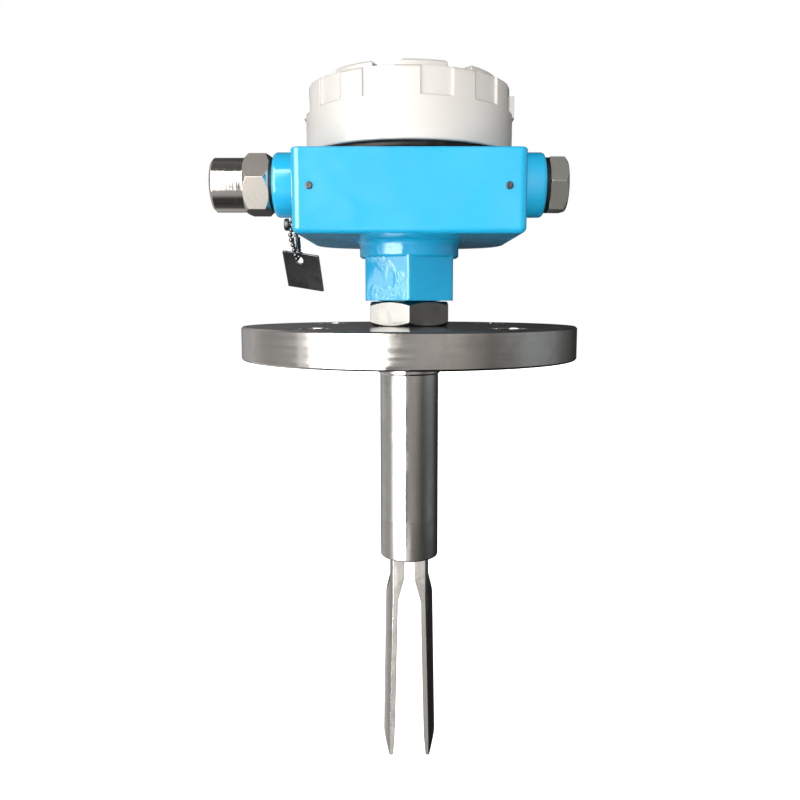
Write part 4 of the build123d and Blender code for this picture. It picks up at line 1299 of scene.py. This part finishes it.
@dataclass
class Studio:
    """The pale floor, the soft light and the camera."""

    camera_back: float = 0.39806
    camera_height: float = 0.03039
    camera_pitch_deg: float = 7.162
    focal_pixels: float = 790.5
    picture_pixels: float = 800.0
    sensor_mm: float = 36.0
    centre_shift_pixels: float = -9.2
    floor_level: float = -0.2067
    floor_radius: float = 3.0
    floor_segments: int = 96
    floor_glow: float = 0.95
    floor_tones: tuple[Colour, Colour] = ((0.93, 0.93, 0.93), (0.9, 0.9, 0.9))
    walls: tuple[Point, ...] = (
        (-180.0, 0.06, 0.02), (180.0, 0.055, 0.02), (-168.0, 0.13, 0.02), (-148.0, 0.42, 0.02),
        (-128.0, 0.55, 0.02), (-112.0, 0.38, 0.02), (-98.0, 0.38, 0.02), (-88.0, 0.43, 0.01),
        (-12.0, 0.3, 0.02), (-8.0, 0.36, 0.02), (-2.0, 0.4, 0.02), (8.0, 0.5, 0.03),
        (22.0, 0.58, 0.05), (36.0, 0.45, 0.05), (54.0, 0.22, 0.03), (68.0, 0.31, 0.0),
        (84.0, 0.39, -0.04), (96.0, 0.36, -0.06), (108.0, 0.31, -0.04), (122.0, 0.15, 0.0),
        (145.0, 0.04, 0.0), (168.0, 0.03, 0.0),
    )
    low_walls: tuple[Point, ...] = (
        (-180.0, 0.04, 0.02), (180.0, 0.03, 0.02), (-168.0, 0.09, 0.02), (-148.0, 0.33, 0.02),
        (-128.0, 0.56, 0.02), (-112.0, 0.5, 0.02), (-98.0, 0.45, 0.02), (-88.0, 0.46, 0.01),
        (-12.0, 0.27, 0.02), (-2.0, 0.37, 0.02), (8.0, 0.38, 0.03), (22.0, 0.31, 0.05),
        (36.0, 0.2, 0.05), (54.0, 0.08, 0.03), (68.0, 0.12, 0.0), (84.0, 0.19, -0.04),
        (96.0, 0.2, -0.06), (108.0, 0.16, -0.04), (122.0, 0.06, 0.0), (145.0, 0.025, 0.0),
    )
    ground: tuple[Point, ...] = (
        (-180.0, 0.14, 0.02), (180.0, 0.04, 0.02), (-152.0, 0.7, 0.02), (-110.0, 0.45, 0.02),
        (-92.0, 0.36, 0.02), (-60.0, 0.5, 0.02), (-10.0, 0.4, 0.02), (-6.0, 1.5, 0.03),
        (-0.5, 1.05, 0.03), (2.0, 0.18, 0.03), (12.0, 0.1, 0.02), (60.0, 0.04, 0.0),
        (120.0, 0.02, 0.0),
    )
    ceiling: tuple[float, float, float, float] = (0.45, 0.8, 1.0, 0.3)
    walls_from: Range = (-0.15, -0.04)
    ground_from: Range = (-0.332, -0.296)
    under_foot: tuple[float, float, float, float] = (-0.9, -0.7, 0.12, 1.0)
    room_on_paint: float = 0.53

    def build(self) -> None:
        """Sets up the camera, the floor, the surroundings and the panels."""
        self.camera()
        self.floor()
        self.surroundings()
        for panel in (
            Panel("glare_panel", -57.0, -15.0, -25.0, 51.0, 10.0, (1.0, 0.985, 0.95), True),
            Panel("window_panel", -66.0, -57.0, -21.0, 51.0, 3.1, (1.0, 0.985, 0.95), True),
            Panel("shaded_window_panel", -76.0, -66.0, -21.0, 51.0, 0.52, (1.0, 0.985, 0.95), True),
            Panel("left_panel", -85.0, -20.0, -32.0, 31.0, 2.4, (1.0, 0.99, 0.97)),
            Panel("front_panel", -11.0, 17.0, -50.0, 60.0, 5.0, (1.0, 0.985, 0.96)),
            Panel("back_panel", 158.0, 202.0, -20.0, 45.0, 2.6, (1.0, 0.99, 0.97)),
            Panel("overhead_panel", -40.0, 40.0, 75.0, 125.0, 0.5),
            Panel("floor_edge_panel", -9.0, 7.0, -22.4, -19.8, 1.1, (1.0, 0.985, 0.96), True),
        ):
            panel.build()
        bpy.context.scene.view_settings.view_transform = "Standard"

    def camera(self) -> None:
        """Stands the camera where the photograph was taken from."""
        lens = bpy.data.cameras.new("camera")
        lens.sensor_width = self.sensor_mm
        lens.lens = self.focal_pixels / self.picture_pixels * self.sensor_mm
        lens.shift_x = self.centre_shift_pixels / self.picture_pixels
        holder = bpy.data.objects.new("camera", lens)
        holder.location = (0.0, -self.camera_back, self.camera_height)
        holder.rotation_euler = (math.radians(90.0 - self.camera_pitch_deg), 0.0, 0.0)
        bpy.context.scene.collection.objects.link(holder)
        bpy.context.scene.camera = holder

    def floor(self) -> None:
        """Lays a round pale floor under the fork's tips."""
        bm = bmesh.new()
        bmesh.ops.create_circle(
            bm, cap_ends=True, segments=self.floor_segments, radius=self.floor_radius
        )
        bmesh.ops.translate(bm, verts=bm.verts, vec=(0.0, 0.0, self.floor_level))
        floor = piece_from("floor", bm)
        floor.data.materials.append(self.floor_finish())
        floor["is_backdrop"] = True

    def floor_finish(self) -> bpy.types.Material:
        """Makes the floor's white, which only the camera sees.

        Returns:
            The material, see-through for the light that the steel mirrors.
        """
        material = bpy.data.materials.new("floor_finish")
        material.use_nodes = True
        material.node_tree.nodes.clear()
        w = Wiring(material.node_tree)
        grain = w.effect(EFFECTS.grain, Grit_per_mm=0.8, Cloud_mm=90.0)
        given = {
            "Base Color": w.blend(grain["Cloud"], *self.floor_tones),
            "Roughness": 0.9,
            "Specular IOR Level": 0.0,
            "Emission Color": WHITE,
            "Emission Strength": self.floor_glow,
        }
        shader = w.result("ShaderNodeBsdfPrincipled", given)
        clear = w.result("ShaderNodeBsdfTransparent", {})
        seen = w.node("ShaderNodeLightPath").outputs["Is Camera Ray"]
        mix = w.result("ShaderNodeMixShader", {0: seen, 1: clear, 2: shader})
        w.feed(w.node("ShaderNodeOutputMaterial").inputs["Surface"], mix)
        return material

    def surroundings(self) -> None:
        """Hangs a white backdrop for the camera and a dim room for the steel."""
        world = bpy.data.worlds.new("room")
        world.use_nodes = True
        world.node_tree.nodes.clear()
        w = Wiring(world.node_tree)
        parts = w.split(w.node("ShaderNodeTexCoord").outputs["Generated"])
        azimuth = w.math("ARCTAN2", parts["X"], w.math("MULTIPLY", parts["Y"], -1.0))
        share = w.math("ADD", w.math("DIVIDE", azimuth, math.tau), 0.5)
        low, wall, floor = (
            self.round_about(w, share, stops) for stops in (self.low_walls, self.walls, self.ground)
        )
        wall = w.blend(w.spread(parts["Z"], *self.walls_from), low, wall)
        wall = w.vector("SCALE", wall, scale=w.spread(parts["Z"], *self.ceiling))
        floor = w.vector("SCALE", floor, scale=w.spread(parts["Z"], *self.under_foot))
        seen = w.blend(w.spread(parts["Z"], *self.ground_from), floor, wall)
        path = w.node("ShaderNodeLightPath").outputs
        strength = w.between(path["Is Diffuse Ray"], 1.0, self.room_on_paint)
        room = w.result("ShaderNodeBackground", {"Color": seen, "Strength": strength})
        white = w.result("ShaderNodeBackground", {"Color": WHITE})
        mix = w.result("ShaderNodeMixShader", {0: path["Is Camera Ray"], 1: room, 2: white})
        w.feed(w.node("ShaderNodeOutputWorld").inputs["Surface"], mix)
        bpy.context.scene.world = world

    def round_about(self, w: Wiring, share: Socket, stops: Sequence[Point]) -> Socket:
        """Lays greys all round the object.

        Args:
            w: the wiring of the world.
            share: how far round a direction is, from 0 to 1.
            stops: degrees from the front, grey and warmth, the two ends first.

        Returns:
            The colour's socket.
        """
        band = w.node("ShaderNodeValToRGB")
        w.feed(band.inputs["Fac"], share)
        made = band.color_ramp.elements
        for index, (degrees, grey, warmth) in enumerate(stops):
            stop = made[index] if index < 2 else made.new(degrees / 360.0 + 0.5)
            stop.color = (grey * (1.0 + warmth), grey, grey * (1.0 - warmth), 1.0)
        return band.outputs["Color"]


def write_sizes() -> None:
    """Works out the frame's box and the finished model's box as text; nothing is written."""
    made_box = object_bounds()
    for low, high in (cad_box, made_box):
        json.dumps([list(low), list(high)]) + "\n"


def main() -> None:
    """Builds the sub-assemblies in order and reports each piece."""
    logging.basicConfig(level=logging.INFO, format="%(name)s: %(message)s", stream=sys.stdout)
    finishes = Finishes()
    for kind in (Probe, Flange, Housing, Cover, CableEntries, TagOnChain, Electronics):
        part = kind(finishes)
        part.build()
        for name in part.built:
            log.info("%s: %s", kind.__name__, name)
    Studio().build()
    write_sizes()


if __name__ == "__main__":
    main()
